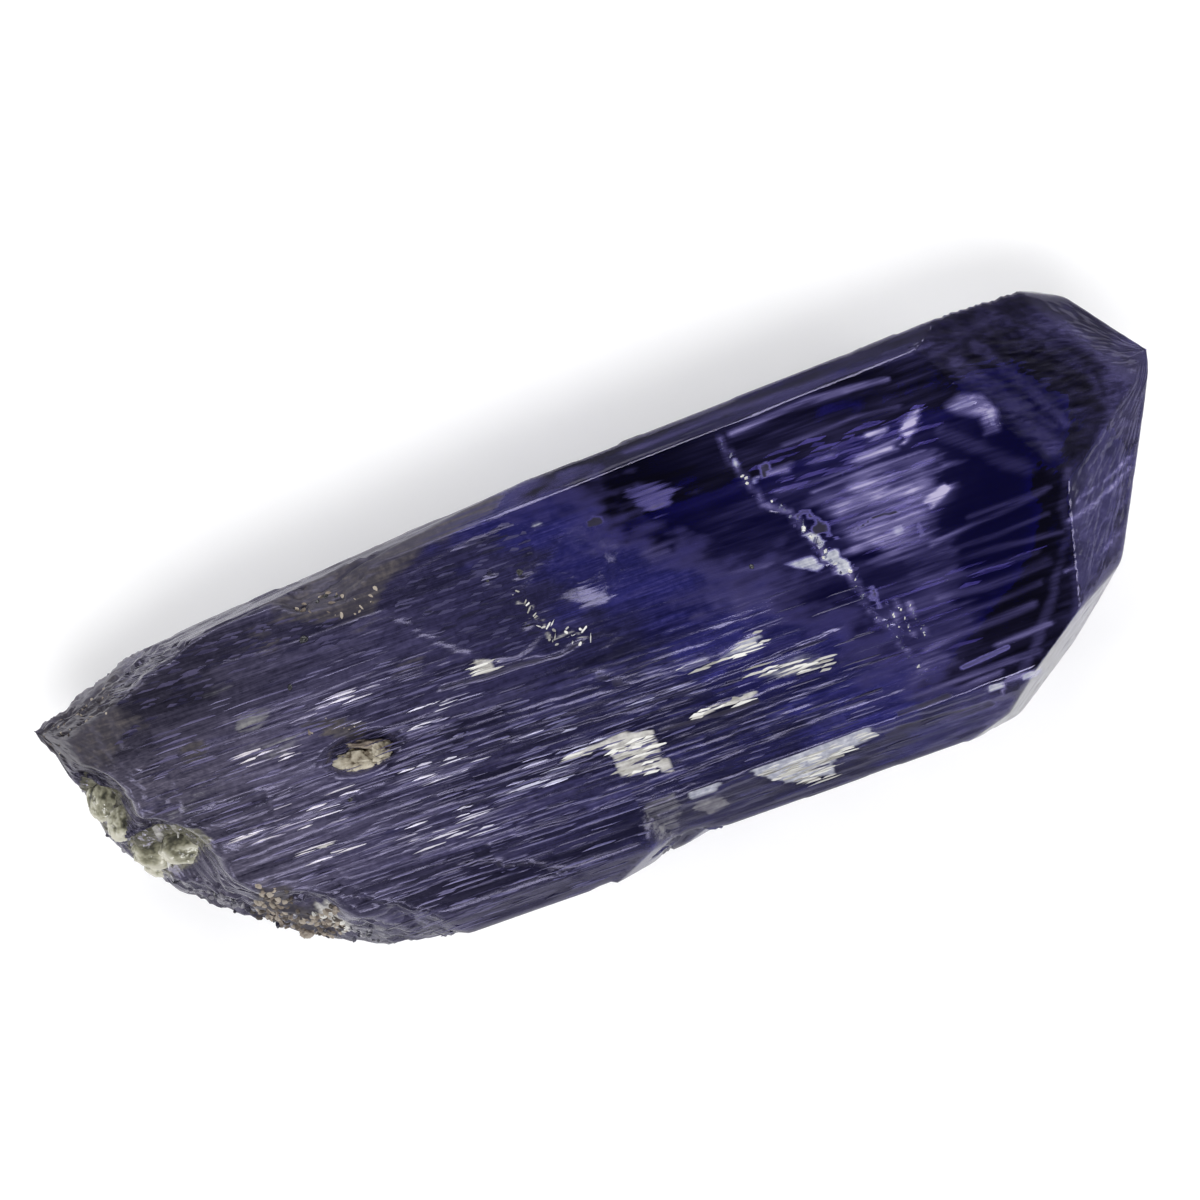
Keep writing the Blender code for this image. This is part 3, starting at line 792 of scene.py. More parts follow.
# %% Tanzanite's textures and colours
# Texture scales are per metre, so a streak scale of 9000 across repeats about every 0.11 mm.
STREAK_SCALE = (330.0, 9000.0, 9000.0)
BROAD_STREAK_SCALE = (130.0, 2600.0, 2600.0)
SCRATCH_SCALE = (800.0, 21000.0, 21000.0)
GRAIN_SCALE = (5000.0, 5000.0, 5000.0)
CLOUD_SCALE = (230.0, 1500.0, 1500.0)
GEM_IOR = 1.69
GLOSS_TINT = "#d2cdf2"
BODY_COLOUR = "#8a76d8"
BODY_DENSITY = 720.0
# Colours along the crystal, from the root to the point, before streaks darken them
TINTED_HALF_LENGTH = 19.0
LENGTH_COLOURS = [(0.0, "#6f6a76"), (0.12, "#6c6782"), (0.30, "#5e5984"), (0.45, "#4e4b7e"), (0.62, "#413f7c"),
                  (1.0, "#3f3f7c")]
STREAK_SHADES = [(0.34, "#66667a"), (0.46, "#9a9aa6"), (0.56, "#c4c4cc"), (0.68, "#ffffff")]
TONE_SHADES = [(0.25, "#76767f"), (0.5, "#bcbcc2"), (0.75, "#ffffff")]
BLUE_STREAKS = [(0.34, "#2b2b6c"), (0.5, "#403f92"), (0.66, "#6862b2")]
VEIL_COLOURS = [(0.0, "#8f86e8"), (0.35, "#8f87d6"), (0.7, "#a9a1e0"), (1.0, "#d8d0f4")]
# Where the skin turns from slate to blue, from blue to clear, and takes the veils' colours
CLEARING = ((0.35, 0.75), (0.72, 1.15), (0.76, 1.28))
# Each solid mark over the gem: its name, how far noise frays it, colours from dark to light, roughness, clearness
MARK_LAYERS = (
    ("stain", 0.45, [(0.3, "#1c1a1e"), (0.5, "#302d2e"), (0.7, "#504a46")], 0.5, 0.06),
    ("pale", 0.60, [(0.3, "#45434c"), (0.5, "#636268"), (0.75, "#8a8a88")], 0.35, 0.05),
    ("glassy", 0.30, [(0.3, "#4a4942"), (0.5, "#7c7a69"), (0.75, "#bab7a0")], 0.15, 0.35),
    ("frost_and_highlight", 0.28, [(0.3, "#666a80"), (0.5, "#a4a6b2"), (0.72, "#d8d9dc")], 0.35, 0.1),
    ("cream", 0.30, [(0.3, "#7d7a75"), (0.5, "#a6a49f"), (0.75, "#d0ceca")], 0.45, 0.0),
    # The near-black dark marks are partly painted shade.
    ("dark_marks_and_shade", 0.40, [(0.3, "#0a0814"), (0.7, "#1c1a2c")], 0.5, 0.0),
)
print("streaks repeat about every", round(1000 / STREAK_SCALE[1], 2), "mm")


# %% What tanzanite's finish is built from
def grown_noise(tree, scale, detail):
    """Noise on the object's own coordinates, drawn out along the crystal by its scale along each axis."""
    place = add_node(tree, "ShaderNodeTexCoord", output="Object")
    mapped = add_node(tree, "ShaderNodeMapping", {"Vector": place, "Scale": scale})
    return add_node(tree, "ShaderNodeTexNoise",
                    {"Vector": mapped, "Scale": 1.0, "Detail": detail, "Roughness": 0.6}, output="Fac")


def along_crystal(tree):
    """0 at the root and 1 at the point, with a soft start and end."""
    place = add_node(tree, "ShaderNodeTexCoord", output="Object")
    along = add_node(tree, "ShaderNodeSeparateXYZ", {"Vector": place}, output="X")
    reach = TINTED_HALF_LENGTH * MM
    return add_node(tree, "ShaderNodeMapRange", {"Value": along, "From Min": -reach, "From Max": reach},
                    interpolation_type="SMOOTHSTEP")


def frayed(tree, mark, fray, streak):
    """A mark's mask with its edge broken into streaks."""
    mask = add_node(tree, "ShaderNodeAttribute", output="Fac", attribute_name=mark)
    shift = add_node(tree, "ShaderNodeMath", {0: streak, 1: 0.5}, operation="SUBTRACT")
    push = add_node(tree, "ShaderNodeMath", {0: shift, 1: 2.2 * fray, 2: mask}, operation="MULTIPLY_ADD")
    edge = add_node(tree, "ShaderNodeMapRange", {"Value": push, "From Min": 0.18, "From Max": 0.82},
                    interpolation_type="SMOOTHSTEP")
    gate = add_node(tree, "ShaderNodeMapRange", {"Value": mask, "From Max": 0.15}, interpolation_type="SMOOTHSTEP")
    return add_node(tree, "ShaderNodeMath", {0: edge, 1: gate}, operation="MULTIPLY")


# %% Tanzanite
def tanzanite_material():
    """Blue-violet gem whose skin runs from slate streaks to clear, with every mark laid over it."""
    material, tree, shader = new_material("tanzanite")
    add = partial(add_node, tree)
    streak = grown_noise(tree, STREAK_SCALE, 4.0)
    wide_streak = grown_noise(tree, BROAD_STREAK_SCALE, 3.0)
    scratch = grown_noise(tree, SCRATCH_SCALE, 1.0)
    grain = grown_noise(tree, GRAIN_SCALE, 2.0)
    cloud = grown_noise(tree, CLOUD_SCALE, 3.0)

    # The slate skin: its colour along the crystal, darker between the streaks
    zone = add("ShaderNodeValToRGB", {"Fac": along_crystal(tree)}, stops=LENGTH_COLOURS)
    tangle = add("ShaderNodeMix", {"Factor": 0.45, "A": streak, "B": wide_streak})
    tangle = add("ShaderNodeMix", {"Factor": 0.45, "A": tangle, "B": scratch})
    tangle = add("ShaderNodeMix", {"Factor": 0.25, "A": tangle, "B": grain})
    contrast = add("ShaderNodeValToRGB", {"Fac": tangle}, stops=STREAK_SHADES)
    slate = add("ShaderNodeMix", {"Factor": 1.0, "A": zone, "B": contrast}, data_type="RGBA", blend_type="MULTIPLY")

    # How far the clear end has taken over at this point: first bluer, then tinted, then clear
    clear_map = add("ShaderNodeAttribute", output="Fac", attribute_name="clear")
    cloudy = add("ShaderNodeMath", {0: cloud, 1: 0.6, 2: clear_map}, operation="MULTIPLY_ADD")
    to_blue, to_clear, to_tint = [
        add("ShaderNodeMapRange", {"Value": cloudy, "From Min": low, "From Max": high},
            interpolation_type="SMOOTHSTEP") for low, high in CLEARING]

    # Veils: thin white feathers that turn the clear gem lavender
    veil_map = add("ShaderNodeAttribute", output="Fac", attribute_name="veil")
    mottle = add("ShaderNodeMix", {"Factor": 0.5, "A": streak, "B": cloud})
    mottle = add("ShaderNodeMapRange", {
        "Value": mottle, "From Min": 0.3, "From Max": 0.68, "To Min": 0.3, "To Max": 1.5},
        interpolation_type="SMOOTHSTEP")
    veil = add("ShaderNodeMath", {0: veil_map, 1: mottle}, operation="MULTIPLY")
    veil_cut = add("ShaderNodeMath", {0: veil, 1: 1.4}, operation="POWER")
    veiled = add("ShaderNodeMix", {"Factor": veil_cut, "A": 0.995, "B": 0.42})
    veil_colour = add("ShaderNodeValToRGB", {"Fac": veil}, stops=VEIL_COLOURS)

    # Slate, blue and clear along the crystal
    deep = add("ShaderNodeValToRGB", {"Fac": tangle}, stops=BLUE_STREAKS)
    # The tone map holds random plank tone, a painted highlight on glinting planks and painted shade on the near
    # steep side.
    tone_map = add("ShaderNodeAttribute", output="Fac", attribute_name="tone")
    shade = add("ShaderNodeValToRGB", {"Fac": tone_map}, stops=TONE_SHADES)
    colour = add("ShaderNodeMix", {"Factor": to_blue, "A": slate, "B": deep}, data_type="RGBA")
    colour = add("ShaderNodeMix", {"Factor": 1.0, "A": colour, "B": shade}, data_type="RGBA", blend_type="MULTIPLY")
    colour = add("ShaderNodeMix", {"Factor": to_tint, "A": colour, "B": veil_colour}, data_type="RGBA")
    rough = add("ShaderNodeMix", {"Factor": to_blue, "A": 0.24, "B": 0.18})
    rough = add("ShaderNodeMix", {"Factor": to_clear, "A": rough, "B": 0.08})
    clearness = add("ShaderNodeMix", {"Factor": to_blue, "A": 0.12, "B": 0.45})
    clearness = add("ShaderNodeMix", {"Factor": to_clear, "A": clearness, "B": veiled})

    # Each mark in turn lies over what is there
    mark_grain = add("ShaderNodeMix", {"Factor": 0.5, "A": streak, "B": grain})
    for mark, fray, stops, roughness, seen_through in MARK_LAYERS:
        mask = frayed(tree, mark, fray, streak)
        mark_colour = add("ShaderNodeValToRGB", {"Fac": mark_grain}, stops=stops)
        colour = add("ShaderNodeMix", {"Factor": mask, "A": colour, "B": mark_colour}, data_type="RGBA")
        rough = add("ShaderNodeMix", {"Factor": mask, "A": rough, "B": roughness})
        clearness = add("ShaderNodeMix", {"Factor": mask, "A": clearness, "B": seen_through})

    relief = add("ShaderNodeMath", {0: grain, 1: 0.35, 2: streak}, operation="MULTIPLY_ADD")
    relief_strength = add("ShaderNodeMix", {"Factor": to_clear, "A": 0.3, "B": 0.05})
    bump = add("ShaderNodeBump", {"Height": relief, "Strength": relief_strength, "Distance": 0.03 * MM})
    fill(shader, {"Base Color": colour, "Roughness": rough, "Transmission Weight": clearness, "Normal": bump,
                  "IOR": GEM_IOR, "Specular Tint": linear(GLOSS_TINT)})
    body = add("ShaderNodeVolumeAbsorption", {"Color": linear(BODY_COLOUR), "Density": BODY_DENSITY})
    fill(tree.nodes["Material Output"], {"Volume": body})
    return material


skin.data.materials.append(tanzanite_material())
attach(skin, "root")
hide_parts("crystal")
print("marks laid over the gem:", [layer[0] for layer in MARK_LAYERS])

# %% [markdown]
# ## Guides for what grows on the skin
# Laths, flakes and grains all lie on the skin inside some outline. So each starts from a guide: a small net of
# squares that is dropped on the skin inside the outline. A guide can also be sunk below the skin, for what is
# sealed inside the gem.


# %% Drop a guide on the skin
def search_tree(piece):
    """A search tree of a piece's faces."""
    points = [vert.co.copy() for vert in piece.data.vertices]
    return BVHTree.FromPolygons(points, [tuple(face.vertices) for face in piece.data.polygons])


def height_at(tree, x, y):
    """Height in mm of the highest face over a place in plan, or None beside it."""
    hit = tree.ray_cast(Vector((x, y, 20.0)) * MM, Vector((0, 0, -1)))[0]
    return None if hit is None else hit.z / MM


def is_inside(x, y, outline):
    """Whether a place in plan is inside an outline."""
    inside = False
    for (ax, ay), (bx, by) in zip(outline, outline[1:] + outline[:1]):
        if (ay > y) != (by > y) and x < ax + (y - ay) * (bx - ax) / (by - ay):
            inside = not inside
    return inside


def ribbon(line, half):
    """The outline of a line of this half width."""
    places = [Vector((*place, 0)) for place in line]
    left, right = [], []
    for at, place in enumerate(places):
        way = (places[min(at + 1, len(places) - 1)] - places[max(at - 1, 0)]).normalized()
        side = Vector((-way.y, way.x, 0)) * half
        left.append((place.x + side.x, place.y + side.y))
        right.append((place.x - side.x, place.y - side.y))
    return left + right[::-1]


def guide_on(tree, outlines, sink=0.0, step=0.12):
    """One net of squares that lies on a surface inside the outlines, sunk by this many millimetres."""
    points, faces = [], []
    for outline in outlines:
        outline = [tuple(place) for place in outline]
        xs = [place[0] for place in outline]
        ys = [place[1] for place in outline]
        for x in np.arange(min(xs), max(xs), step):
            for y in np.arange(min(ys), max(ys), step):
                if not is_inside(x + step / 2, y + step / 2, outline):
                    continue
                corners = ((x, y), (x + step, y), (x + step, y + step), (x, y + step))
                heights = [height_at(tree, *corner) for corner in corners]
                if None in heights:
                    continue
                faces.append(tuple(range(len(points), len(points) + 4)))
                points += [Vector((*corner, height - sink)) * MM for corner, height in zip(corners, heights)]
    mesh = bpy.data.meshes.new("guide")
    mesh.from_pydata(points, [], faces)
    return add_piece("guide", mesh)


skin_tree = search_tree(skin)
print("height over the middle, mm:", round(height_at(skin_tree, 0, 0), 2))

# %% [markdown]
# ## Two small Geometry Nodes trees
# One tree strews long six-sided laths that all point along the crystal, because they grew that way. The other
# strews lumpy grains that point anywhere. Modelling hundreds by hand would be slow and too even, and a particle
# system is lost in an export. Nodes give every copy its own size, lean and tone from one seed.


# %% Helpers for the trees
def new_tree(name, inputs):
    """A Geometry Nodes tree with geometry in and out and named inputs, each a (name, kind)."""
    tree = bpy.data.node_groups.new(name, "GeometryNodeTree")
    tree.interface.new_socket(name="Geometry", in_out="INPUT", socket_type="NodeSocketGeometry")
    tree.interface.new_socket(name="Geometry", in_out="OUTPUT", socket_type="NodeSocketGeometry")
    for label, kind in inputs:
        tree.interface.new_socket(name=label, in_out="INPUT", socket_type=f"NodeSocket{kind}")
    return tree, tree.nodes.new("NodeGroupInput").outputs, tree.nodes.new("NodeGroupOutput").inputs


def finish_copies(tree, copies, seed, material):
    """Gives each copy a random tone, makes the copies real and sets their material."""
    draw = add_node(tree, "FunctionNodeRandomValue", {"Seed": seed}, data_type="FLOAT")
    toned = add_node(tree, "GeometryNodeStoreNamedAttribute", {"Geometry": copies, "Name": "tone", "Value": draw},
                     data_type="FLOAT", domain="INSTANCE")
    real = add_node(tree, "GeometryNodeRealizeInstances", {"Geometry": toned})
    return add_node(tree, "GeometryNodeSetMaterial", {"Geometry": real, "Material": material})


# %% The lath tree
def lath_tree():
    """Laths strewn over a guide: six-sided, laid along the crystal and leaning a little."""
    tree, given, out = new_tree("strewn laths", [
        ("Density", "Float"), ("Size", "Vector"), ("Lean", "Vector"), ("Spread", "Vector"), ("Seed", "Int"),
        ("Material", "Material"),
    ])
    add = partial(add_node, tree)
    seed = given["Seed"]
    spots = add("GeometryNodeDistributePointsOnFaces",
                {"Mesh": given["Geometry"], "Density": given["Density"], "Seed": seed})
    bar = add("GeometryNodeMeshCone", {"Vertices": 6, "Radius Top": 0.3, "Radius Bottom": 0.5, "Depth": 1.0})
    lying = add("GeometryNodeTransform", {"Geometry": bar, "Rotation": (math.radians(30), math.pi / 2, 0),
                                          "Translation": (-0.5, 0, 0)})
    smallest = add("ShaderNodeVectorMath", {0: given["Size"], 1: (0.3, 0.45, 0.6)}, operation="MULTIPLY")
    size = add("FunctionNodeRandomValue", {"Min": smallest, "Max": given["Size"], "Seed": seed},
               data_type="FLOAT_VECTOR")
    least = add("ShaderNodeVectorMath", {0: given["Lean"], 1: given["Spread"]}, operation="SUBTRACT")
    most = add("ShaderNodeVectorMath", {0: given["Lean"], 1: given["Spread"]}, operation="ADD")
    lean = add("FunctionNodeRandomValue", {"Min": least, "Max": most, "Seed": seed}, data_type="FLOAT_VECTOR")
    lean = add("FunctionNodeEulerToRotation", {"Euler": lean})
    flat = add("FunctionNodeAlignRotationToVector", {"Vector": spots.node.outputs["Normal"]},
               axis="Z", pivot_axis="X")
    turn = add("FunctionNodeRotateRotation", {"Rotation": flat, "Rotate By": lean}, rotation_space="LOCAL")
    copies = add("GeometryNodeInstanceOnPoints",
                 {"Points": spots, "Instance": lying, "Rotation": turn, "Scale": size})
    tree.links.new(finish_copies(tree, copies, seed, given["Material"]), out["Geometry"])
    return tree


# %% The grain tree
def grain_tree():
    """Lumpy grains strewn over a guide, turned every way and pushed in and out by noise."""
    tree, given, out = new_tree("strewn grains", [
        ("Density", "Float"), ("Size", "Vector"), ("Lumps", "Float"), ("Seed", "Int"), ("Material", "Material"),
    ])
    add = partial(add_node, tree)
    seed = given["Seed"]
    spots = add("GeometryNodeDistributePointsOnFaces",
                {"Mesh": given["Geometry"], "Density": given["Density"], "Seed": seed})
    ball = add("GeometryNodeMeshIcoSphere", {"Radius": 0.5, "Subdivisions": 2})
    smallest = add("ShaderNodeVectorMath", {0: given["Size"], 1: (0.35, 0.35, 0.35)}, operation="MULTIPLY")
    size = add("FunctionNodeRandomValue", {"Min": smallest, "Max": given["Size"], "Seed": seed},
               data_type="FLOAT_VECTOR")
    turn = add("FunctionNodeRandomValue", {"Min": (-0.5, -0.5, 0.0), "Max": (0.5, 0.5, 6.28), "Seed": seed},
               data_type="FLOAT_VECTOR")
    turn = add("FunctionNodeEulerToRotation", {"Euler": turn})
    copies = add("GeometryNodeInstanceOnPoints",
                 {"Points": spots, "Instance": ball, "Rotation": turn, "Scale": size})
    real = finish_copies(tree, copies, seed, given["Material"])
    place = add("GeometryNodeInputPosition")
    waves = add("ShaderNodeTexNoise", {"Vector": place, "Scale": 9000.0, "Detail": 2.0}, output="Color")
    centred = add("ShaderNodeVectorMath", {0: waves, 1: (0.5, 0.5, 0.5)}, operation="SUBTRACT")
    push = add("ShaderNodeVectorMath", {0: centred, "Scale": given["Lumps"]}, operation="SCALE")
    lumpy = add("GeometryNodeSetPosition", {"Geometry": real, "Offset": push})
    tree.links.new(lumpy, out["Geometry"])
    return tree


# %% Run a tree on a guide
def run_tree(name, guide, tree, values):
    """Runs a tree on a guide, keeps the result as a plain mesh and hangs the piece under the root body."""
    modifier = guide.modifiers.new(tree.name, "NODES")
    modifier.node_group = tree
    for item in tree.interface.items_tree:
        if item.item_type == "SOCKET" and item.in_out == "INPUT" and item.name in values:
            modifier[item.identifier] = values[item.name]
    shape = guide.evaluated_get(bpy.context.evaluated_depsgraph_get())
    mesh = bpy.data.meshes.new_from_object(shape)
    mesh.name = name
    guide.modifiers.remove(modifier)
    bpy.data.objects.remove(guide, do_unlink=True)
    piece = add_piece(name, mesh)
    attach(piece, "root")
    print(name, "triangles:", sum(len(face.vertices) - 2 for face in mesh.polygons))
    return piece


PER_MM2 = 1e6
laths = lath_tree()
grains = grain_tree()


def strew_laths(name, outlines, material, per_mm2, size, spread, seed, lean=0.0, sink=0.0):
    """Laths on outlines: how many a square millimetre, their size and sink in mm, spread and lean in degrees."""
    guide = guide_on(skin_tree, outlines, sink)
    values = {
        "Density": per_mm2 * PER_MM2, "Size": [side * MM for side in size],
        "Lean": (math.radians(lean), 0.0, 0.0),
        "Spread": (math.radians(spread), math.radians(1.0), math.radians(1.5)), "Seed": seed, "Material": material,
    }
    return run_tree(name, guide, laths, values)


def strew_grains(name, outlines, material, per_mm2, size, lumps, sink, seed):
    """Grains on outlines: how many a square millimetre, their size, how far noise pushes them and sink in mm."""
    guide = guide_on(skin_tree, outlines, sink)
    values = {"Density": per_mm2 * PER_MM2, "Size": [side * MM for side in size], "Lumps": lumps * MM,
              "Seed": seed, "Material": material}
    return run_tree(name, guide, grains, values)


# %% [markdown]
# ## Growth laths
# Seen close, the growth lines are laths: flat six-sided bars a tenth of a millimetre wide. Most lie level and
# only break up the skin. Where bundles of them lean towards the key they shine silver white, and their colour is
# painted pale as well, a painted highlight. They could be bump alone, but bump has no ends and no edges that catch
# the light.


# %% Lath materials
def flecked_material(name, stops, roughness, seen_through, ior=GEM_IOR, grain=0.3, fleck=STREAK_SCALE, tints=None):
    """A finish whose colour runs over a ramp by each copy's own tone and fine flecks, tinted along the crystal."""
    material, tree, shader = new_material(name)
    add = partial(add_node, tree)
    tone = add("ShaderNodeAttribute", output="Fac", attribute_name="tone")
    flecks = grown_noise(tree, fleck, 3.0)
    speck = grown_noise(tree, GRAIN_SCALE, 2.0)
    fray = add("ShaderNodeMath", {0: flecks, 1: 0.9, 2: tone}, operation="MULTIPLY_ADD")
    fray = add("ShaderNodeMapRange", {"Value": fray, "From Min": 0.2, "From Max": 1.3},
               interpolation_type="SMOOTHSTEP")
    colour = add("ShaderNodeValToRGB", {"Fac": fray}, stops=stops)
    if tints:
        tint = add("ShaderNodeValToRGB", {"Fac": along_crystal(tree)}, stops=tints)
        colour = add("ShaderNodeMix", {"Factor": 1.0, "A": colour, "B": tint},
                     data_type="RGBA", blend_type="MULTIPLY")
        fill(shader, {"Specular Tint": linear(GLOSS_TINT)})
    dull = add("ShaderNodeMix", {"Factor": speck, "A": roughness * 0.7, "B": roughness * 1.3})
    bump = add("ShaderNodeBump", {"Height": speck, "Strength": grain, "Distance": 0.02 * MM})
    fill(shader, {"Base Color": colour, "Roughness": dull, "Normal": bump, "Transmission Weight": seen_through,
                  "IOR": ior})
    return material


# All of these laths but the calcite are the gem itself, clouded by feathers too fine to part. The eye gets a satin
# grey-blue from them, and silver where the light comes straight back; the silvery laths are painted pale too, a
# painted highlight.
LATH_TINTS = [(0.0, "#fff8f0"), (0.4, "#dcdcec"), (0.6, "#a8a8cc"), (0.8, "#8080b4")]
slate_lath = flecked_material("tanzanite laths, slate", [
    (0.0, "#1e1d30"), (0.45, "#2d2b44"), (0.8, "#403e58"), (1.0, "#545272")], 0.3, 0.0, tints=LATH_TINTS)
terrace_lath = flecked_material("tanzanite laths, dark", [
    (0.0, "#181729"), (0.45, "#24233a"), (0.8, "#33314b"), (1.0, "#44425e")], 0.3, 0.0, tints=LATH_TINTS)
# The silvery laths' pale colours are a painted highlight, on laths that also lean towards the key.
silver_lath_painted_highlight = flecked_material("tanzanite laths, silvery with painted highlight", [
    (0.0, "#3f3e55"), (0.5, "#66657f"), (0.8, "#918fa6"), (1.0, "#d0d0da")], 0.18, 0.0, tints=LATH_TINTS)
# Calcite is a soft white mineral with a waxy break: cream, dull and closed to light
cream_lath = flecked_material("cream calcite laths", [
    (0.0, "#6d6a66"), (0.3, "#93918c"), (0.7, "#b5b3af"), (1.0, "#d8d7d3")], 0.45, 0.0, 1.55, 0.6)
# A veil is a thin crack full of tiny bubbles: through blue gem its white turns lavender
lavender_sliver = flecked_material("lavender veil slivers", [
    (0.0, "#5f5a86"), (0.4, "#89829f"), (0.8, "#b3abc4"), (1.0, "#d6cfe2")], 0.35, 0.0)

# %% Strew the laths
LEFT_STRIATED = ((-15.8, 2.3), (-13.4, 3.0), (-10.2, 2.9), (-7.2, 3.0), (-4.8, 1.0), (-3.0, -0.6), (1.0, 0.0),
                 (1.6, -4.3), (-0.5, -4.8), (-9.5, -5.2), (-12.6, -3.6), (-14.3, -1.6), (-15.7, 0.4))
NEAR_SIDE = ((-9.6, -6.15), (-2.2, -6.15), (-2.4, -6.7), (-9.0, -6.7))
NEAR_SIDE_RIGHT = ((1.6, -5.25), (10.2, -5.25), (9.6, -5.95), (2.0, -5.95))
RIGHT_STRIATED = ((1.0, 0.4), (7.2, 0.2), (8.4, -3.6), (6.5, -4.6), (1.4, -4.6))
FAR_SLATE = ((-16.5, 2.6), (-13.0, 3.4), (-8.2, 3.4), (-7.6, 4.0), (-10.4, 4.9), (-14.5, 5.1), (-16.3, 4.6))
LOWER_LATH = ((-9.8, -4.9), (-1.4, -5.0), (-1.8, -6.1), (-9.4, -6.3))
GLINT_BUNDLES = (
    ribbon(((-9.9, 1.5), (-8.6, 1.65), (-7.3, 1.88)), 0.28),
    ribbon(((-10.93, 1.56), (-10.06, 1.66)), 0.16),
    ribbon(((-9.4, 0.98), (-8.5, 0.7)), 0.14),
    ribbon(((-12.7, 0.9), (-11.0, 0.7)), 0.3),
    ribbon(((-13.6, -1.4), (-9.8, -1.5)), 0.5),
    ribbon(((-8.0, -1.44), (-5.5, -1.69)), 0.3),
    ribbon(((-12.0, -2.67), (-9.6, -2.9)), 0.3),
    ribbon(((-9.0, -3.3), (-6.0, -3.5)), 0.5),
    ribbon(((-4.8, -2.84), (-2.9, -2.95)), 0.3),
    ribbon(((-3.9, -2.4), (-2.2, -2.3)), 0.25),
    ribbon(((-3.8, -1.4), (-2.3, -1.7)), 0.2),
    ribbon(((-1.9, -2.2), (0.1, -2.35)), 0.16),
    ribbon(((-1.2, -1.78), (0.43, -1.68), (2.2, -1.81)), 0.12),
    ribbon(((-8.0, 0.0), (-5.0, 0.6)), 0.35),
)
FROST_BUNDLES = (
    ((2.4, -1.2), (3.2, -0.85), (4.4, -0.70), (4.4, -1.2), (3.44, -1.3)),
    ribbon(((1.4, -1.11), (2.3, -1.15)), 0.16),
    ribbon(((3.6, -1.95), (4.86, -2.2), (6.1, -2.5)), 0.22),
    ((-4.92, 1.52), (-4.41, 1.44), (-4.28, 0.89), (-4.8, 0.86)),
    ((-4.25, 1.69), (-3.97, 1.64), (-4.00, 1.40), (-4.22, 1.43)),
    ((2.33, -5.04), (4.06, -5.05), (6.6, -5.05), (6.72, -5.40), (5.79, -5.44), (5.18, -5.7), (4.92, -6.1),
     (3.31, -5.75)),
)
strew_laths("growth_laths", [LEFT_STRIATED, LOWER_LATH, NEAR_SIDE], slate_lath, 6.0, (1.5, 0.09, 0.03), 3.5, 3)
strew_laths("blue_growth_laths", [RIGHT_STRIATED, NEAR_SIDE_RIGHT], slate_lath, 1.6, (1.8, 0.09, 0.03), 3.0, 4)
strew_laths("short_laths", [FAR_SLATE, SMOOTH_TERRACE], terrace_lath, 9.0, (0.8, 0.13, 0.02), 3.0, 6)
strew_laths("silver_laths_painted_highlight", GLINT_BUNDLES, silver_lath_painted_highlight, 8.0, (1.4, 0.09, 0.04), 9.0, 5, lean=9.0)
strew_laths("frosted_laths", FROST_BUNDLES, cream_lath, 14.0, (1.1, 0.1, 0.04), 8.0, 7)
CREAM_BUNDLES = (CREAM_BLOCK, ribbon(CREAM_TAIL, 0.1), ribbon(PINK_STREAK, 0.1))
strew_laths("cream_laths", CREAM_BUNDLES, cream_lath, 14.0, (0.9, 0.16, 0.05), 6.0, 9)

# %% [markdown]
# ## Veils sealed in the clear end
# The lavender window is not paint: it is a cloud of feathers inside the gem, seen through its top face. So the
# same tree strews slivers on a guide that is sunk under the skin, where the blue glass dims them.

# %% Slivers under the skin
SLIVER_CLOUDS = (LAVENDER_WINDOW, ((5.9, 4.6), (11.6, 4.6), (11.9, 3.2), (6.4, 3.1)))
DEEP_CLOUDS = (LOW_HAZE, ((9.6, -0.6), (14.2, -0.6), (14.0, -2.4), (9.8, -2.6)))
strew_laths("window_slivers", SLIVER_CLOUDS, lavender_sliver, 6.0, (1.3, 0.16, 0.03), 14.0, 21, sink=0.22)
strew_laths("deep_slivers", DEEP_CLOUDS, lavender_sliver, 1.6, (2.2, 0.16, 0.04), 20.0, 22, sink=0.45)

# %% [markdown]
# ## A healed crack
# A crack once ran across the crystal and healed, and it left a chain of pale flakes. A third tree walks along a
# line dropped on the skin and lays a tilted chip every tenth or two of a millimetre, each pushed a little off it.


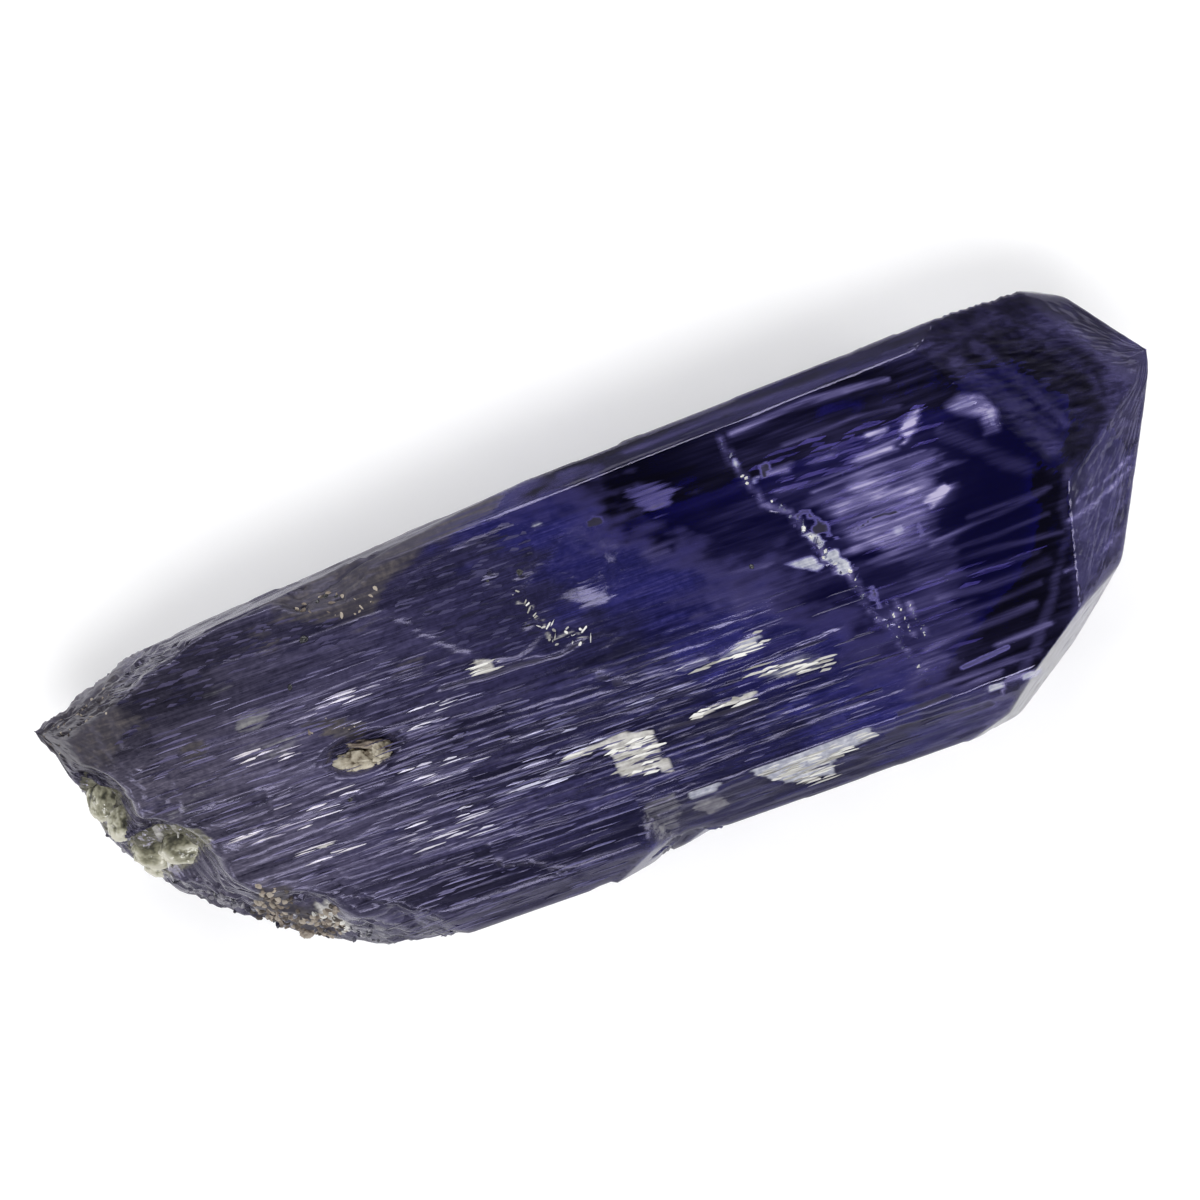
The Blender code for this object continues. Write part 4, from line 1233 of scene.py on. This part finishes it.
# %% Flakes along the crack
def flake_tree():
    """Thin chips laid along a line, each pushed off it and turned at random."""
    tree, given, out = new_tree("flakes along a crack", [
        ("Spacing", "Float"), ("Size", "Vector"), ("Stray", "Vector"), ("Seed", "Int"), ("Material", "Material"),
    ])
    add = partial(add_node, tree)
    seed = given["Seed"]
    curve = add("GeometryNodeMeshToCurve", {"Mesh": given["Geometry"]})
    stops = add("GeometryNodeResampleCurve", {"Curve": curve, "Length": given["Spacing"]}, mode="LENGTH")
    back = add("ShaderNodeVectorMath", {0: given["Stray"], 1: (-1.0, -1.0, -1.0)}, operation="MULTIPLY")
    stray = add("FunctionNodeRandomValue", {"Min": back, "Max": given["Stray"], "Seed": seed},
                data_type="FLOAT_VECTOR")
    moved = add("GeometryNodeSetPosition", {"Geometry": stops, "Offset": stray})
    chip = add("GeometryNodeMeshCone", {"Vertices": 5, "Radius Top": 0.35, "Radius Bottom": 0.5, "Depth": 0.3})
    smallest = add("ShaderNodeVectorMath", {0: given["Size"], 1: (0.3, 0.3, 0.5)}, operation="MULTIPLY")
    size = add("FunctionNodeRandomValue", {"Min": smallest, "Max": given["Size"], "Seed": seed},
               data_type="FLOAT_VECTOR")
    turn = add("FunctionNodeRandomValue", {"Min": (-0.45, -0.45, -1.2), "Max": (0.45, 0.45, 1.2), "Seed": seed},
               data_type="FLOAT_VECTOR")
    turn = add("FunctionNodeEulerToRotation", {"Euler": turn})
    copies = add("GeometryNodeInstanceOnPoints",
                 {"Points": moved, "Instance": chip, "Rotation": turn, "Scale": size})
    tree.links.new(finish_copies(tree, copies, seed, given["Material"]), out["Geometry"])
    return tree


def line_on(tree, line, sink=0.0, step=0.15):
    """A line dropped on a surface: a chain of edges that follows its height."""
    ends = np.array(line, float)
    along = np.concatenate([[0.0], np.cumsum(np.hypot(*np.diff(ends, axis=0).T))])
    walk = np.arange(0, along[-1], step)
    places = zip(np.interp(walk, along, ends[:, 0]), np.interp(walk, along, ends[:, 1]))
    points = [(x * MM, y * MM, (height_at(tree, x, y) - sink) * MM) for x, y in places]
    mesh = bpy.data.meshes.new("line")
    mesh.from_pydata(points, [(at, at + 1) for at in range(len(points) - 1)], [])
    return add_piece("line", mesh)


flakes = flake_tree()


def lay_flakes(name, line, material, spacing, size, stray, seed, sink=0.02):
    """Flakes along one line: gap between them, three sizes and how far they stray, all in mm."""
    values = {"Spacing": spacing * MM, "Size": [side * MM for side in size], "Seed": seed, "Material": material,
              "Stray": (stray * MM, stray * MM, 0.02 * MM)}
    return run_tree(name, line_on(skin_tree, line, sink), flakes, values)


# Healed flakes are gem that grew back across the crack: pale, glossy and a little see-through
crack_flake = flecked_material("healed crack flakes, pale blue-white", [
    (0.0, "#2c2b4a"), (0.4, "#5a5b7e"), (0.75, "#8f92a6"), (1.0, "#d0cfc6")], 0.25, 0.15, fleck=GRAIN_SCALE)
lay_flakes("crack_flakes_upper", HEALED_CRACK[:6], crack_flake, 0.19, (0.34, 0.13, 0.08), 0.16, 31)
lay_flakes("crack_flakes_middle", HEALED_CRACK[5:10], crack_flake, 0.09, (0.42, 0.2, 0.1), 0.17, 30)
lay_flakes("crack_flakes_lower", HEALED_CRACK[9:], crack_flake, 0.15, (0.32, 0.11, 0.06), 0.12, 32)
for at, rung in enumerate(CRACK_RUNGS):
    lay_flakes(f"crack_rung_{at + 1}", rung, crack_flake, 0.09, (0.20, 0.09, 0.05), 0.04, 33 + at)
lay_flakes("fracture_flakes", FRACTURE_LINE, cream_lath, 0.12, (0.5, 0.09, 0.06), 0.24, 41)

# %% [markdown]
# ## Grains of other minerals
# Calcite, graphite and a glassy green-yellow grain grew against this crystal, and the broken root kept bits of
# them. Each larger grain is one lump: a fine ball pushed in and out by noise. It could be sculpted by hand, but
# noise gives every grain a shape of its own for nothing. The crumbly crust is strewn by the grain tree.


# %% Lumps set into the skin
def lump(name, place, half, turn, seed, material, bumps=0.16, sink=0.4, levels=5):
    """One lumpy grain set into the skin: place in plan, half sizes in mm, turn in degrees."""
    bm = bmesh.new()
    bmesh.ops.create_icosphere(bm, subdivisions=levels, radius=1.0)
    shift = Vector((seed * 3.1, seed * 1.7, seed * 2.3))
    tones_and_far_shade = []
    for vert in bm.verts:
        way = vert.co.normalized()
        swell = noise.fractal(way * 1.7 + shift, 0.8, 2.1, 5)
        vert.co = way * (1 + bumps * swell)
        # Each grain's tone runs darker towards its far side, away from the key: painted shade. On the cream grain
        # this falls over its real brown rim.
        tones_and_far_shade.append(0.5 + 0.45 * swell - 0.25 * way.y)
    height = height_at(skin_tree, *place) - sink * half[2]
    matrix = Matrix.LocRotScale(Vector((*place, height)) * MM, Euler((0, 0, math.radians(turn))), Vector(half) * MM)
    bmesh.ops.transform(bm, matrix=matrix, verts=bm.verts[:])
    mesh = bpy.data.meshes.new(name)
    bm.to_mesh(mesh)
    bm.free()
    mesh.shade_smooth()
    mesh.materials.append(material)
    piece = add_piece(name, mesh)
    paint(piece, "tone", np.array(tones_and_far_shade))
    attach(piece, "root")
    return piece


# A calcite grain with iron in its hollows: chalky cream that runs to brown
cream_grain = flecked_material("cream calcite grain with brown rim", [
    (0.0, "#2b2218"), (0.3, "#4d3f2f"), (0.5, "#7a7262"), (0.8, "#989080"), (1.0, "#b5ae9e")],
    0.5, 0.0, 1.55, 0.8, GRAIN_SCALE)
VEIN_SCALE = (900.0, 1500.0, 1500.0)
# A glassy silicate: wet gloss, with dark and pale yellow-green veins a millimetre apart
glassy_grain = flecked_material("glassy yellow-green grain", [
    (0.0, "#31312d"), (0.42, "#57564c"), (0.62, "#878571"), (0.82, "#bab8a2"), (1.0, "#e6e3d2")],
    0.12, 0.3, 1.55, 0.3, VEIN_SCALE)
# Rock dust stained by iron: dull tan and brown. Broken slate chips are the gem's own crumbs, with glossy breaks.
crust_grain = flecked_material("iron-stained crust", [
    (0.0, "#292321"), (0.4, "#4b423d"), (0.8, "#72665c"), (1.0, "#9c9286")], 0.5, 0.0, 1.55, 0.8, GRAIN_SCALE)
slate_chip = flecked_material("broken slate chips", [
    (0.0, "#1c1b26"), (0.4, "#343341"), (0.8, "#545260"), (1.0, "#8a8890")], 0.25, 0.05, GEM_IOR, 0.8, GRAIN_SCALE)
# Graphite flakes: near black, with a soft sheen
graphite_speck = flecked_material("graphite specks", [(0.0, "#07070b"), (1.0, "#1a1a20")], 0.35, 0.0, 1.6, 0.8)

lump("cream_grain", (-9.38, -0.42), (0.78, 0.42, 0.34), -12, 3, cream_grain, 0.42, -0.1)
lump("cream_grain_small", (-8.62, -0.42), (0.42, 0.36, 0.3), -24, 9, cream_grain, 0.42, -0.1)
lump("grain_rim", (-9.0, 0.06), (0.82, 0.15, 0.26), -17, 7, crust_grain, 0.4, -0.1, 4)
GLASSY_LUMPS = ((-17.8, 1.15, 0.6, 0.72, -15), (-17.5, 0.25, 0.5, 0.6, -30), (-16.75, -1.0, 0.85, 0.6, -20),
                (-15.8, -1.15, 0.85, 0.58, -8), (-16.95, -1.5, 0.5, 0.34, -35))
for at, (x, y, half_x, half_y, turn) in enumerate(GLASSY_LUMPS):
    lump(f"glassy_grain_{at + 1}", (x, y), (half_x, half_y, 0.3), turn, 5 + at, glassy_grain, 0.13, 0.3)
lump("glassy_vein_one", (-16.42, -1.1), (0.09, 0.5, 0.12), -16, 2, cream_lath, 0.35, -0.6, 4)
lump("glassy_vein_two", (-15.92, -0.88), (0.05, 0.38, 0.1), -12, 4, cream_lath, 0.35, -0.8, 4)
lump("crust_bump", (-12.97, -5.15), (0.3, 0.2, 0.2), 10, 6, crust_grain, 0.3, 0.2, 4)
SPECKS = ((-9.79, 3.91, 0.12), (-8.70, 5.00, 0.08), (-8.37, 4.88, 0.06), (-9.00, 4.92, 0.07), (-10.74, 2.60, 0.08),
          (-10.12, -1.49, 0.09), (-2.46, 3.66, 0.1), (-3.54, 3.72, 0.05), (-2.78, 1.98, 0.07), (4.7, 1.3, 0.07))
for at, (x, y, half) in enumerate(SPECKS):
    size = (half * 1.3, half, half * 0.6)
    lump(f"graphite_speck_{at + 1}", (x, y), size, 17 * at, at, graphite_speck, 0.4, 0.2, 3)
print("lumps:", 6 + len(GLASSY_LUMPS) + len(SPECKS))

# %% Crusts and crumbs
BAND_MIDDLE = ((-10.0, 4.9), (-8.4, 5.1), (-6.8, 4.9), (-7.3, 3.9), (-9.4, 4.4))
CRUST_CREAM = ((-12.55, -4.58), (-11.70, -4.51), (-11.78, -5.13), (-11.50, -5.50), (-11.99, -5.60), (-12.18, -5.08))
ROOT_CRUMBS = ((-19.0, 3.9), (-17.6, 4.5), (-16.4, 4.7), (-16.6, 3.6), (-17.6, 2.6), (-18.9, 2.9))
ROOT_OUTLINE = ((-18.7, 2.3), (-18.25, 0.9), (-17.7, -0.6), (-16.9, -1.9), (-15.9, -2.9), (-15.0, -3.6),
                (-13.9, -4.4), (-12.9, -5.0), (-11.8, -5.6), (-10.8, -5.95))
# Each crust: name, outlines, finish, how many a square millimetre, sizes, lumps and sink in mm, seed
CRUSTS = (
    ("crust_grains", [CRUST], crust_grain, 16.0, (0.34, 0.30, 0.2), 0.10, 0.03, 51),
    ("band_chips", [BAND_MIDDLE, BROWN_STAIN], crust_grain, 8.0, (0.34, 0.24, 0.05), 0.04, 0.03, 56),
    ("fracture_grains", [ribbon(FRACTURE_LINE[3:], 0.26)], cream_lath, 12.0, (0.2, 0.13, 0.12), 0.06, 0.02, 52),
    ("crust_cream", [CRUST_CREAM], cream_lath, 22.0, (0.3, 0.22, 0.1), 0.06, 0.03, 53),
    ("root_crumbs", [ROOT_CRUMBS], crust_grain, 3.0, (0.2, 0.12, 0.06), 0.08, 0.03, 54),
    ("root_chips", [ribbon(ROOT_OUTLINE, 0.32)], slate_chip, 8.0, (0.36, 0.26, 0.16), 0.1, 0.05, 55),
)
for crust in CRUSTS:
    strew_grains(*crust)
